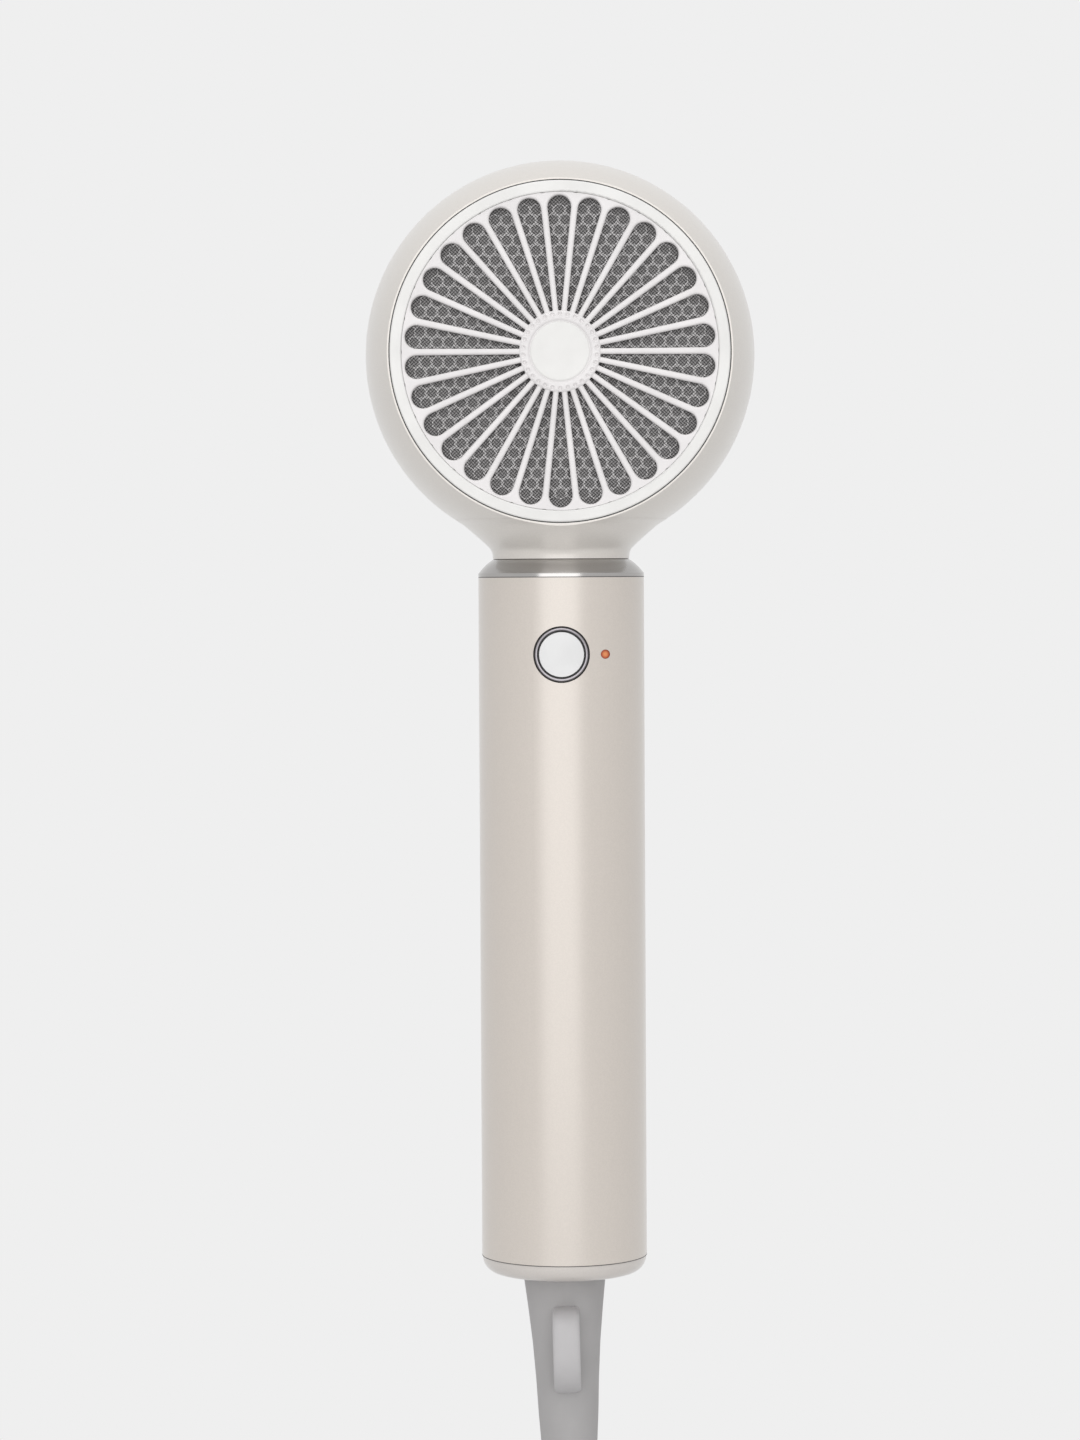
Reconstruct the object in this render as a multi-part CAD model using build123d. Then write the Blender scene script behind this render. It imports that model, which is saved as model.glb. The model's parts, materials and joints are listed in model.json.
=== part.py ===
from build123d import *
import math
import os

# Hair dryer with a straight round handle and a ball-shaped head, as an assembly of separate pieces.
# Millimetres. The origin is on the handle's axis, at the middle of its tube. +Z runs up the handle
# to the head, +Y is the way the air leaves, and the air goes in at the round grille on the -Y side.

# ---------------------------------------------------------------- driving sizes
# handle
HANDLE_R = 19.0
HANDLE_LENGTH = 156.0
HANDLE_WALL = 1.4
COLLAR_HEIGHT = 4.2
COLLAR_SPIGOT = 8.0
CAP_HEIGHT = 4.0
CAP_FLOOR = 2.6
CAP_SPIGOT = 8.0
SPIGOT_WALL = 1.6
# button and indicator
BUTTON_DROP = 17.5  # from the tube's top edge down to the button's centre
BUTTON_R = 5.05
BUTTON_TRAVEL = 0.7
BUTTON_STEM = (2.0, 4.0)  # radius, length behind the skirt
BUTTON_FLANGE_T = 1.2
RING_R = 6.35
RING_DEPTH = 1.2  # ring's skirt behind the tube's wall
PLUNGER = (1.7, 2.0)  # radius, length
SWITCH_W = 6.0
SWITCH_T = 3.6
FLUSH_STEP = 0.3  # how far the button, its ring and the lens stand below the tube's surface
LENS_X = 9.9
LENS_R = 1.0
LED_W = 2.6
LED_T = 1.4
# head
HEAD_R = 44.5
HEAD_WALL = 2.2
HEAD_LIFT = 1.8  # lowest point of the ball over the collar's top
NECK_R = 15.6
NECK_FILLET = 13.5
NECK_BORE_R = 10.8
NECK_SPIGOT_WALL = 1.6
NUT_T = 3.2
OPENING_R = 38.4
RIM_LAND = 0.4
INLET_DEPTH = 6.3  # from the rim of the opening to the shoulder inside
SHOULDER_R = 33.5
SHOULDER_T = 2.0
FRONT_SEAM = 23.0  # from the ball's centre to the joint with the front shell
BARREL_R = 27.6
BARREL_WALL = 2.0
BARREL_FILLET = 9.0
# inlet cover
BEZEL_WIDTH = 2.6
BEZEL_PROUD = 0.5
GRILLE_T = 2.2
GRILLE_STEP = 0.3
SLOT_COUNT = 30
SLOT_TIP_R = 2.63
SLOT_TIP_AT = 32.3
SLOT_ROOT_R = 0.35
SLOT_ROOT_AT = 9.4
RIB_EDGE = 0.35
HUB_RING_R = 9.0
HUB_CAP_R = 6.8
DIMPLE_R = 0.6
DIMPLE_AT = 8.1
HUB_RAISE = 0.3
MESH_T = 0.4
COVER_STEP = 1.6  # width of the bezel's ledge behind the filter frame
FILTER_FRAME_T = 1.4
FILTER_SPOKES = 6
MAGNET_COUNT = 4
MAGNET_R = 1.0
MAGNET_T = 2.0
# inner guard
GUARD_T = 1.0
GUARD_RINGS = (11.0, 19.0, 27.0)
GUARD_BAR = 1.2
GUARD_SPOKES = 6
# fan and motor
DUCT_R = 27.6
DUCT_WALL = 1.4
FLANGE_EDGE = 1.0  # shroud's flange, inside the opening's radius
BELL_R = 5.7
IMPELLER_SPACE = 11.6  # length of the duct's straight stretch
HUB_R = 13.5
HUB_LENGTH = 4.5
NOSE_LENGTH = 4.5
BLADE_COUNT = 9
BLADE_TIP_GAP = 0.4
VANE_COUNT = 7
VANE_T = 1.0
VANE_LENGTH = 9.0
CONE_LENGTH = 10.0
SLEEVE_FLOOR = 1.2
MOTOR_R = 12.0
MOTOR_LENGTH = 14.0
MOTOR_WALL = 0.8
MOTOR_SLEEVE_T = 1.0
SHAFT_R = 1.5
SHAFT_GAP = 0.05
BEARING_R = 3.5
BEARING_T = 2.5
CORE_BORE_R = 6.0
CORE_LENGTH = 5.0
CORE_TEETH = 6
YOKE_T = 1.8
TOOTH_W = 2.4
SHOE_T = 0.9
SHOE_W = 5.2
WINDING_T = 1.1
MAGNET_GAP = 0.5
# heater
HEATER_R = 23.9
MICA_T = 0.4
BOARD_T = 0.8
BOARD_LENGTH = 24.0
BOARD_CLEAR = 2.39  # from the motor's end cap to the boards
COIL_RINGS = 4
COIL_PITCH = 4.0
COIL_START = 2.2  # from the boards' upstream edge to the first ring
COIL_AT = (19.0, 11.5)
COIL_WIRE_R = 0.9
THERMOSTAT_R = 3.0
THERMOSTAT_T = 3.0
FUSE_R = 1.2
FUSE_LENGTH = 8.0
# outlet
NOZZLE_R = 27.0
NOZZLE_LENGTH = 10.0
OUTLET_LIP = 8.0
OUTLET_SPIGOT = 4.0
OUTLET_EDGE = 0.8
OUTLET_MOUTH_R = 23.6
OUTLET_GRILLE_T = 1.5
OUTLET_RINGS = (7.0, 13.0, 19.0)
OUTLET_SPOKES = 8
# inside the handle
PLATE_T = 2.0
PLATE_LENGTH = 119.0
BOARD_PCB_T = 1.2
SWITCH_BOARD_W = 26.0
SWITCH_BOARD_H = 18.0
SWITCH_BOARD_RISE = 5.5  # board's top edge over the button's centre
POST_IN = 3.0  # posts, in from the boards' edges
POST_R = 1.6
CONTROL_BOARD_W = 26.0
CONTROL_BOARD_H = 98.0
CONTROL_POST = 3.0
CONTROL_POSTS = (4.0, 90.0)  # heights of its posts from its lower edge
CAPACITOR = (4.8, 20.0)  # radius, length
CAPACITOR_AT = (-5.0, 22.0)  # across, and up from the board's lower edge
CHOKE = (4.4, 3.2, 7.4, 1.2)  # flange radius, core radius, length, flange thickness
CHOKE_AT = (6.0, 10.0)
SINK = (11.0, 6.8, 24.0, 2.0)  # width, depth, height, base thickness
SINK_AT = (0.0, 46.0)
SINK_FINS = 5
SINK_FIN_T = 1.4
FILM = (7.0, 6.5, 16.0, 0.8)  # width, depth, height, corner
FILM_AT = (-10.0, 50.0)
LEG_W = 2.4
CLAMP_X = 12.0
CLAMP_POST_R = 2.2
CLAMP_BAR = (9.0, 4.0)  # width, thickness
CLAMP_SCREW = (2.0, 1.6)  # head's radius and height
CLAMP_LIFT = 6.0  # underside of the clamp bar over the tube's bottom edge
# strain relief and cord
RELIEF_LEAN = 1.3  # degrees
RELIEF_RADII = ((0.0, 9.24), (8.0, 8.3), (16.5, 7.45), (25.0, 6.9), (33.0, 6.55), (58.0, 4.7))
RELIEF_GROOVE_R = 7.25
RELIEF_FLANGE_R = 9.5
RELIEF_FLANGE_T = 2.0
LOOP_W = 6.8
LOOP_FROM = 7.0
LOOP_H = 21.0
LOOP_STRAP = 2.3
LOOP_GAP = 4.7
CORD_D = 7.0
CORE_BEND_R = 300.0
CORD_TAIL_IN = 10.0  # jacket left above the clamp
HANK_FOLD_R = 21.0  # middle of the cord round a fold
HANK_LENGTH = 140.0
HANK_WAIST = 9.0  # middle of the cord to the hank's middle, at the tie
HANK_TURNS = 5
HANK_EDGE = 3.0
TIE_T = 1.2
TIE_H = 12.0
PLUG_W = 35.0
PLUG_T = 21.0
PLUG_H = 34.0
PLUG_SLEEVE = (5.4, 16.0)  # radius at the body, length
PLUG_SHOULDER = 8.0
PLUG_GROOVES = 4
PIN_R = 2.4
PIN_LENGTH = 19.0
PIN_SPACING = 19.0
# fits
SEAM = 0.15  # open joint lines
SLIP = 0.05  # between pieces that nest and don't move
SEAT_GAP = 0.3  # left where a removable or soft piece rests
RUN_GAP = 0.2  # round the cover and the button

# ---------------------------------------------------------------- places worked out from them
tube_top = HANDLE_LENGTH / 2
tube_bottom = -tube_top
tube_bore = HANDLE_R - HANDLE_WALL
clamp_z = tube_bottom + CLAMP_LIFT
collar_top = tube_top + COLLAR_HEIGHT
cap_bottom = tube_bottom - CAP_HEIGHT
head_z = collar_top + HEAD_LIFT + HEAD_R
button_z = tube_top - BUTTON_DROP
spigot_r = tube_bore - SLIP
collar_end = tube_top - COLLAR_SPIGOT
neck_end = collar_end - NUT_T

# behind the button, towards the handle's middle
skirt_y = -HANDLE_R + FLUSH_STEP + HANDLE_WALL + RING_DEPTH
stem_y = skirt_y + BUTTON_STEM[1]
switch_y = stem_y + BUTTON_TRAVEL + SEAT_GAP
switch_board_y = switch_y + SWITCH_T  # face towards the button
switch_board_top = button_z + SWITCH_BOARD_RISE
frame_top = switch_board_top
frame_bottom = frame_top - PLATE_LENGTH
control_y = PLATE_T / 2 + CONTROL_POST
board_face = control_y + BOARD_PCB_T

# along the head's axis, from the ball's centre, positive towards the outlet
rim_y = -math.sqrt(HEAD_R**2 - (OPENING_R + RIM_LAND) ** 2)
bezel_face = rim_y - BEZEL_PROUD
shoulder_back = rim_y + INLET_DEPTH
shoulder_front = shoulder_back + SHOULDER_T
guard_back = shoulder_back - GUARD_T
bezel_end = guard_back - SEAT_GAP
grille_face = bezel_face + GRILLE_STEP
grille_back = grille_face + GRILLE_T
duct_start = shoulder_front + BELL_R
duct_end = duct_start + IMPELLER_SPACE
motor_seat = duct_end + SLEEVE_FLOOR
cone_end = duct_end + CONE_LENGTH
boards_start = motor_seat + MOTOR_LENGTH + MOTOR_WALL + BOARD_CLEAR
boards_end = boards_start + BOARD_LENGTH
outlet_step = boards_end + SEAT_GAP + OUTLET_GRILLE_T
outlet_end = outlet_step + OUTLET_LIP
barrel_end = outlet_end - NOZZLE_LENGTH

head = Plane(origin=(0, 0, head_z), x_dir=(1, 0, 0), z_dir=(0, 1, 0))
full = Plane.XZ


# ---------------------------------------------------------------- ways of making a shape
def arc(start, end, centre):
    """The short arc from start to end about centre."""
    radius = math.dist(start, centre)
    mid = [(s + e) / 2 - c for s, e, c in zip(start, end, centre)]
    size = math.hypot(*mid)
    return ThreePointArc(start, tuple(c + m * radius / size for c, m in zip(centre, mid)), end)


def turned(*edges):
    """A solid of revolution about Z. Each item is a point (radius, height) or an arc between two."""
    lines = []
    last = None
    for item in edges:
        if isinstance(item, tuple):
            here = item
            if last is not None and math.dist(last, here) > 1e-6:
                lines.append(Line(last, here))
            last = here
        else:
            start, end = tuple(item @ 0)[:2], tuple(item @ 1)[:2]
            if last is not None and math.dist(last, start) > 1e-6:
                lines.append(Line(last, start))
            lines.append(item)
            last = end
    first = edges[0] if isinstance(edges[0], tuple) else tuple(edges[0] @ 0)[:2]
    if math.dist(last, first) > 1e-6:
        lines.append(Line(last, first))
    return revolve(full * make_face(Curve() + lines), axis=Axis.Z, revolution_arc=360)


def tube(outer, inner, low, high):
    """A plain ring about Z."""
    return turned((inner, low), (outer, low), (outer, high), (inner, high))


def rod(radius, low, high):
    """A plain cylinder about Z."""
    return Pos(0, 0, (low + high) / 2) * Cylinder(radius, high - low)


def block(x, y, z):
    """A box from its low and high side along each axis."""
    low, high = (x[0], y[0], z[0]), (x[1], y[1], z[1])
    size = [b - a for a, b in zip(low, high)]
    return Pos(*[(a + b) / 2 for a, b in zip(low, high)]) * Box(*size)


def around(count, shape, first=0.0):
    """Copies of a shape, evenly spaced about Z."""
    return [Rot(0, 0, first + 360 * i / count) * shape for i in range(count)]


def save(node, shape):
    """Write one sub-part, with its solids kept separate."""
    solids = shape.solids()
    shape = solids[0] if len(solids) == 1 else Compound(children=list(solids))
    export_step(shape, f"parts/{node}.step")


def ball(offset, y):
    """Radius of the head's ball, taken in by offset, at y along its axis."""
    return math.sqrt((HEAD_R - offset) ** 2 - y**2)


# ---------------------------------------------------------------- head
def head_shell():
    """Ball-shaped housing, open behind for the cover and in front for the outlet shell, with the neck."""
    inside = HEAD_R - HEAD_WALL
    shoulder_in = ball(HEAD_WALL, shoulder_front)
    shell = turned(
        arc((OPENING_R + RIM_LAND, rim_y), (ball(0, FRONT_SEAM), FRONT_SEAM), (0, 0)),
        arc((ball(HEAD_WALL, FRONT_SEAM), FRONT_SEAM), (shoulder_in, shoulder_front), (0, 0)),
        (SHOULDER_R, shoulder_front),
        (SHOULDER_R, shoulder_back),
        (OPENING_R, shoulder_back),
        (OPENING_R, rim_y),
    )
    # the neck leaves the ball in a hollow curve and ends on the collar
    fillet_r = NECK_R + NECK_FILLET
    reach = HEAD_R + NECK_FILLET
    fillet_z = head_z - math.sqrt(reach**2 - fillet_r**2)
    touch = (fillet_r * HEAD_R / reach, head_z - (head_z - fillet_z) * HEAD_R / reach)
    base_z = max(collar_top, fillet_z)
    base_r = fillet_r - math.sqrt(NECK_FILLET**2 - (base_z - fillet_z) ** 2)
    spigot_out = NECK_BORE_R + NECK_SPIGOT_WALL
    top_z = head_z - inside + HEAD_WALL
    neck = turned(
        (NECK_BORE_R, neck_end),
        (spigot_out, neck_end),
        (spigot_out, collar_top),
        (base_r, collar_top),
        arc((base_r, base_z), touch, (fillet_r, fillet_z)),
        (NECK_BORE_R, touch[1]),
    )
    hollow = head * Sphere(inside)
    keep = head * rod(HEAD_R * 2, rim_y + HEAD_WALL, FRONT_SEAM)
    neck = (neck - hollow) & (keep + block((-HEAD_R, HEAD_R), (-HEAD_R, HEAD_R), (0, collar_top + 1)))
    bore = rod(NECK_BORE_R, collar_top, top_z + HEAD_WALL)
    return head * shell - bore + neck


def front_shell():
    """Front of the ball, drawn in to the outlet barrel, with a spigot into the head shell."""

    def outline(offset, start):
        radius = HEAD_R - offset
        barrel = BARREL_R - offset * BARREL_WALL / HEAD_WALL
        fillet = BARREL_FILLET + offset
        centre_r = barrel + fillet
        centre_y = math.sqrt((radius + fillet) ** 2 - centre_r**2)
        share = radius / (radius + fillet)
        touch = (centre_r * share, centre_y * share)
        return [
            arc((ball(offset, start), start), touch, (0, 0)),
            arc(touch, (barrel, centre_y), (centre_r, centre_y)),
            (barrel, barrel_end),
        ]

    spigot = ball(HEAD_WALL, FRONT_SEAM) - SLIP * 2
    outer = turned(*outline(0, FRONT_SEAM), (0, barrel_end), (0, FRONT_SEAM))
    inner = turned(*outline(HEAD_WALL, FRONT_SEAM), (0, barrel_end), (0, FRONT_SEAM))
    lip = tube(spigot, spigot - HEAD_WALL / 2, FRONT_SEAM - HEAD_WALL, FRONT_SEAM + HEAD_WALL)
    return head * (outer - inner + (lip & rod(HEAD_R, FRONT_SEAM - HEAD_WALL, FRONT_SEAM + HEAD_WALL)))


def outlet_ring():
    """Heat-proof ring at the mouth, which a nozzle or diffuser slides over."""
    spigot = BARREL_R - BARREL_WALL - SLIP * 2
    pocket = HEATER_R + MICA_T + SLIP * 4
    return head * turned(
        (pocket, barrel_end - OUTLET_SPIGOT),
        (spigot, barrel_end - OUTLET_SPIGOT),
        (spigot, barrel_end),
        (NOZZLE_R, barrel_end),
        (NOZZLE_R, outlet_end - OUTLET_EDGE),
        (NOZZLE_R - OUTLET_EDGE, outlet_end),
        (OUTLET_MOUTH_R + OUTLET_EDGE, outlet_end),
        (OUTLET_MOUTH_R, outlet_end - OUTLET_EDGE),
        (OUTLET_MOUTH_R, outlet_step),
        (pocket, outlet_step),
    )


def ring_grille(rim, rim_width, rings, spokes, bar, low, high, hub):
    """A flat guard of rings and spokes."""
    guard = tube(rim, rim - rim_width, low, high)
    for radius in rings:
        guard += tube(radius + bar / 2, radius - bar / 2, low, high)
    spoke = block((hub / 2, rim - rim_width / 2), (-bar / 2, bar / 2), (low, high))
    for one in around(spokes, spoke):
        guard += one
    return guard + rod(hub, low, high)


def outlet_grille():
    """Steel guard in front of the heater."""
    rim = HEATER_R + MICA_T + SLIP * 2
    low = outlet_step - OUTLET_GRILLE_T
    return head * ring_grille(rim, 2.0, OUTLET_RINGS, OUTLET_SPOKES, 1.0, low, outlet_step, 2.5)


def inner_guard():
    """Fixed finger guard behind the removable cover, resting on the shell's shoulder."""
    rim = OPENING_R - RUN_GAP
    width = OPENING_R - SHOULDER_R
    return head * ring_grille(
        rim, width, GUARD_RINGS, GUARD_SPOKES, GUARD_BAR, guard_back, shoulder_back, 4.0
    )


# ---------------------------------------------------------------- inlet cover
def inlet_bezel():
    """White ring round the grille, with a skirt into the opening."""
    outer = OPENING_R - RUN_GAP
    inner = outer - BEZEL_WIDTH
    edge = 0.4
    step = inner - COVER_STEP
    ring = turned(
        (inner, bezel_face + edge),
        arc((inner, bezel_face + edge), (inner + edge, bezel_face), (inner + edge, bezel_face + edge)),
        arc((outer - edge, bezel_face), (outer, bezel_face + edge), (outer - edge, bezel_face + edge)),
        (outer, bezel_end),
        (step, bezel_end),
        (step, grille_back + MESH_T + FILTER_FRAME_T),
        (inner, grille_back + MESH_T + FILTER_FRAME_T),
    )
    for pocket in around(MAGNET_COUNT, cover_magnet(SLIP), 45):
        ring -= pocket
    return head * ring


def slot():
    """One tapered slot with round ends, pointing along +X."""
    slope = (SLOT_TIP_R - SLOT_ROOT_R) / (SLOT_TIP_AT - SLOT_ROOT_AT)
    rise = math.sqrt(1 - slope**2)
    root = (SLOT_ROOT_AT - SLOT_ROOT_R * slope, SLOT_ROOT_R * rise)
    tip = (SLOT_TIP_AT - SLOT_TIP_R * slope, SLOT_TIP_R * rise)
    outline = Curve() + [
        Line(root, tip),
        ThreePointArc(tip, (SLOT_TIP_AT + SLOT_TIP_R, 0), (tip[0], -tip[1])),
        Line((tip[0], -tip[1]), (root[0], -root[1])),
        ThreePointArc((root[0], -root[1]), (SLOT_ROOT_AT - SLOT_ROOT_R, 0), root),
    ]
    return make_face(outline)


def inlet_grille():
    """Round grille: a slotted disc with softened ribs, and a raised hub ring with a dimple at each slot."""
    rim = OPENING_R - RUN_GAP - BEZEL_WIDTH - SLIP
    plate = tube(rim, HUB_CAP_R + SLIP, grille_face, grille_back)
    cutter = extrude(Plane.XY.offset(grille_face - 1) * slot(), GRILLE_T + 2)
    edge = chamfer_of_slot()
    for turn in range(SLOT_COUNT):
        angle = Rot(0, 0, 90 + 360 * turn / SLOT_COUNT)
        plate -= angle * cutter
        plate -= angle * edge
    raised = grille_face - HUB_RAISE
    ring = turned(
        (HUB_CAP_R + SLIP, grille_face + 0.5),
        (HUB_RING_R - 0.1, grille_face + 0.5),
        (HUB_RING_R - 0.1, grille_face),
        (HUB_RING_R - 0.5, raised),
        (HUB_CAP_R + SLIP, raised),
    )
    floor = tube(HUB_CAP_R + 1, 2.0, grille_back - 0.8, grille_back)
    dimple = Pos(DIMPLE_AT, 0, raised) * Sphere(DIMPLE_R)
    body = plate + ring + floor
    for one in around(SLOT_COUNT, dimple, 90):
        body -= one
    return head * body


def chamfer_of_slot():
    """The slope cut along a slot's front edge, which leaves the ribs softened."""
    wide = offset(slot(), RIB_EDGE)
    front = Plane.XY.offset(grille_face) * wide
    back = Plane.XY.offset(grille_face + RIB_EDGE) * slot()
    return loft([front, back])


def hub_cap():
    """Plain disc in the middle of the grille, with a peg through its floor."""
    face = grille_face - 0.2
    return head * turned(
        (0, face),
        (HUB_CAP_R - 0.5, face),
        arc((HUB_CAP_R - 0.5, face), (HUB_CAP_R, face + 0.5), (HUB_CAP_R - 0.5, face + 0.5)),
        (HUB_CAP_R, grille_back - 0.8),
        (1.9, grille_back - 0.8),
        (1.9, grille_back),
        (0, grille_back),
    )


def filter_mesh():
    """Woven filter disc, lying on the filter frame behind the grille."""
    rim = OPENING_R - RUN_GAP - BEZEL_WIDTH - SLIP
    return head * rod(rim, grille_back, grille_back + MESH_T)


def filter_frame():
    """Spoked frame that holds the mesh against the grille."""
    rim = OPENING_R - RUN_GAP - BEZEL_WIDTH - SLIP
    low = grille_back + MESH_T
    return head * ring_grille(rim, 1.5, (21.0,), FILTER_SPOKES, 1.0, low, low + FILTER_FRAME_T, 5.0)


def cover_magnet(gap):
    """One magnet in the end of the bezel's skirt, with a gap round it for its pocket."""
    at = OPENING_R - RUN_GAP - BEZEL_WIDTH / 2
    return Pos(at, 0, 0) * rod(MAGNET_R + gap, bezel_end - MAGNET_T - gap, bezel_end)


def cover_magnets():
    """Small magnets which hold the cover on the steel guard behind it."""
    return head * Compound(children=around(MAGNET_COUNT, cover_magnet(0), 45))


# ---------------------------------------------------------------- fan and motor
def fan_shroud():
    """Bell mouth, duct, guide vanes and motor sleeve in one moulding, screwed to the shell's shoulder."""
    bell = DUCT_R + BELL_R
    pocket = HEATER_R + MICA_T + SLIP * 2
    duct = turned(
        arc((bell, shoulder_front), (DUCT_R, duct_start), (bell, duct_start)),
        (DUCT_R, duct_end),
        (HEATER_R, cone_end),
        (pocket, cone_end),
        (pocket, cone_end + 3),
        (pocket + DUCT_WALL, cone_end + 3),
        (pocket + DUCT_WALL, cone_end),
        (DUCT_R + DUCT_WALL, duct_end),
        arc((DUCT_R + DUCT_WALL, duct_start), (bell, shoulder_front + DUCT_WALL), (bell, duct_start)),
        (OPENING_R - FLANGE_EDGE, shoulder_front + DUCT_WALL),
        (OPENING_R - FLANGE_EDGE, shoulder_front),
    )
    sleeve_in = MOTOR_R + MOTOR_SLEEVE_T + SLIP * 2
    sleeve = turned(
        (sleeve_in, motor_seat),
        (sleeve_in, cone_end),
        (sleeve_in + DUCT_WALL, cone_end),
        (sleeve_in + DUCT_WALL, duct_end),
        (BEARING_R + 2.0, duct_end),
        (BEARING_R + 2.0, motor_seat),
    )
    # guide vanes run from the sleeve to the cone and straighten the turning air
    first = duct_end + 0.4
    bend = ThreePointArc(
        (-2.2, first), (-0.5, first + VANE_LENGTH * 0.5), (0, first + VANE_LENGTH)
    )
    profile = Plane.YZ * make_face(
        Curve()
        + [
            bend,
            Line(bend @ 1, (VANE_T, first + VANE_LENGTH)),
            ThreePointArc(
                (VANE_T, first + VANE_LENGTH),
                (VANE_T - 0.5, first + VANE_LENGTH * 0.5),
                (VANE_T - 2.2, first),
            ),
            Line((VANE_T - 2.2, first), bend @ 0),
        ]
    )
    vane = extrude(Pos(sleeve_in + DUCT_WALL / 2, 0, 0) * profile, DUCT_R)
    trim = turned(
        (0, duct_end),
        (DUCT_R + DUCT_WALL / 2, duct_end),
        (HEATER_R + DUCT_WALL / 2, cone_end),
        (0, cone_end),
    )
    vane = vane & trim
    body = duct
    for one in around(VANE_COUNT, vane):
        body += one
    return head * (body + sleeve)


def fan_screws():
    """Three pan-head screws through the shroud's flange."""
    at = (DUCT_R + BELL_R + OPENING_R) / 2 - 0.4
    top = shoulder_front + DUCT_WALL
    screw = Pos(at, 0, 0) * (rod(1.6, top, top + 1.2))
    return head * Compound(children=around(3, screw, 30))


def impeller():
    """Axial fan wheel: a domed hub and twisted blades."""
    back = duct_start + 1.2 + NOSE_LENGTH
    front = back + HUB_LENGTH
    wall = 1.6
    nose_r = (HUB_R**2 + NOSE_LENGTH**2) / (2 * NOSE_LENGTH)
    hub = turned(
        (0, back - NOSE_LENGTH),
        arc((0, back - NOSE_LENGTH), (HUB_R, back), (0, back - NOSE_LENGTH + nose_r)),
        (HUB_R, front),
        (HUB_R - wall, front),
        (HUB_R - wall, back + wall / 2),
        (SHAFT_R + wall, back - wall / 4),
        (SHAFT_R + wall, front - 1),
        (SHAFT_R, front - 1),
        (SHAFT_R, back - wall),
        (0, back - wall),
    )
    middle = (back + front) / 2 - 0.3
    sections = []
    for radius, chord, pitch, thick in (
        (HUB_R - 1.0, 8.4, 44, 1.3),
        ((HUB_R + DUCT_R) / 2, 10.4, 35, 1.1),
        (DUCT_R + 1.5, 12.6, 27, 0.9),
    ):
        tilt = math.radians(pitch)
        place = Plane(
            origin=(radius, 0, middle),
            x_dir=(0, math.cos(tilt), math.sin(tilt)),
            z_dir=(1, 0, 0),
        )
        half = chord / 2
        camber = chord * 0.09
        edge = thick * 0.25
        outline = Curve() + [
            ThreePointArc((-half, edge), (0, camber + thick / 2), (half, edge)),
            Line((half, edge), (half, -edge)),
            ThreePointArc((half, -edge), (0, camber - thick / 2), (-half, -edge)),
            Line((-half, -edge), (-half, edge)),
        ]
        sections.append(place * make_face(outline))
    blade = loft(sections) & tube(DUCT_R - BLADE_TIP_GAP, HUB_R - 0.8, back - 4, front + 4)
    wheel = hub
    for one in around(BLADE_COUNT, blade):
        wheel += one
    return head * wheel


def motor_shaft():
    """Steel shaft, from the impeller's hub to the front bearing."""
    low = duct_start + 1.2 + NOSE_LENGTH - 1.6
    return head * rod(SHAFT_R, low, motor_seat + MOTOR_LENGTH + 0.6)


def rotor_magnet():
    """Ring magnet on the shaft, inside the laminated core."""
    middle = motor_seat + MOTOR_LENGTH / 2
    half = CORE_LENGTH / 2 + 0.3
    return head * tube(CORE_BORE_R - MAGNET_GAP, SHAFT_R, middle - half, middle + half)


def motor_housing():
    """Drawn can with the back bearing's pocket."""
    low, high = motor_seat, motor_seat + MOTOR_LENGTH
    boss = BEARING_R + SLIP + 1.0
    inside = MOTOR_R - MOTOR_WALL
    return head * turned(
        (SHAFT_R + 0.8, low),
        (MOTOR_R, low),
        (MOTOR_R, high),
        (inside, high),
        (inside, low + MOTOR_WALL),
        (boss, low + MOTOR_WALL),
        (boss, low + MOTOR_WALL + BEARING_T),
        (BEARING_R + SLIP, low + MOTOR_WALL + BEARING_T),
        (BEARING_R + SLIP, low + MOTOR_WALL),
        (SHAFT_R + 0.8, low + MOTOR_WALL),
    )


def motor_end_cap():
    """Front cover of the motor, with the front bearing's pocket."""
    low = motor_seat + MOTOR_LENGTH
    boss = BEARING_R + SLIP + 1.0
    return head * turned(
        (SHAFT_R + 0.8, low + MOTOR_WALL),
        (MOTOR_R, low + MOTOR_WALL),
        (MOTOR_R, low),
        (boss, low),
        (boss, low - BEARING_T + MOTOR_WALL / 2),
        (BEARING_R + SLIP, low - BEARING_T + MOTOR_WALL / 2),
        (BEARING_R + SLIP, low + MOTOR_WALL / 2),
        (SHAFT_R + 0.8, low + MOTOR_WALL / 2),
    )


def motor_bearings():
    """Two ball bearings, as plain rings."""
    back = motor_seat + MOTOR_WALL
    front = motor_seat + MOTOR_LENGTH + MOTOR_WALL / 2
    rings = [
        tube(BEARING_R, SHAFT_R + SHAFT_GAP, back, back + BEARING_T),
        tube(BEARING_R, SHAFT_R + SHAFT_GAP, front - BEARING_T, front),
    ]
    return head * Compound(children=rings)


def motor_core():
    """Laminated stator core with its teeth."""
    middle = motor_seat + MOTOR_LENGTH / 2
    low, high = middle - CORE_LENGTH / 2, middle + CORE_LENGTH / 2
    outer = MOTOR_R - MOTOR_WALL - SLIP
    core = tube(outer, outer - YOKE_T, low, high)
    tooth = block(
        (CORE_BORE_R + SHOE_T / 2, outer - YOKE_T / 2), (-TOOTH_W / 2, TOOTH_W / 2), (low, high)
    )
    shoe_arc = tube(CORE_BORE_R + SHOE_T, CORE_BORE_R, low, high)
    wedge = block((0, MOTOR_R), (-SHOE_W / 2, SHOE_W / 2), (low, high))
    for one in around(CORE_TEETH, tooth + (shoe_arc & wedge)):
        core += one
    return head * core


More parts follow.
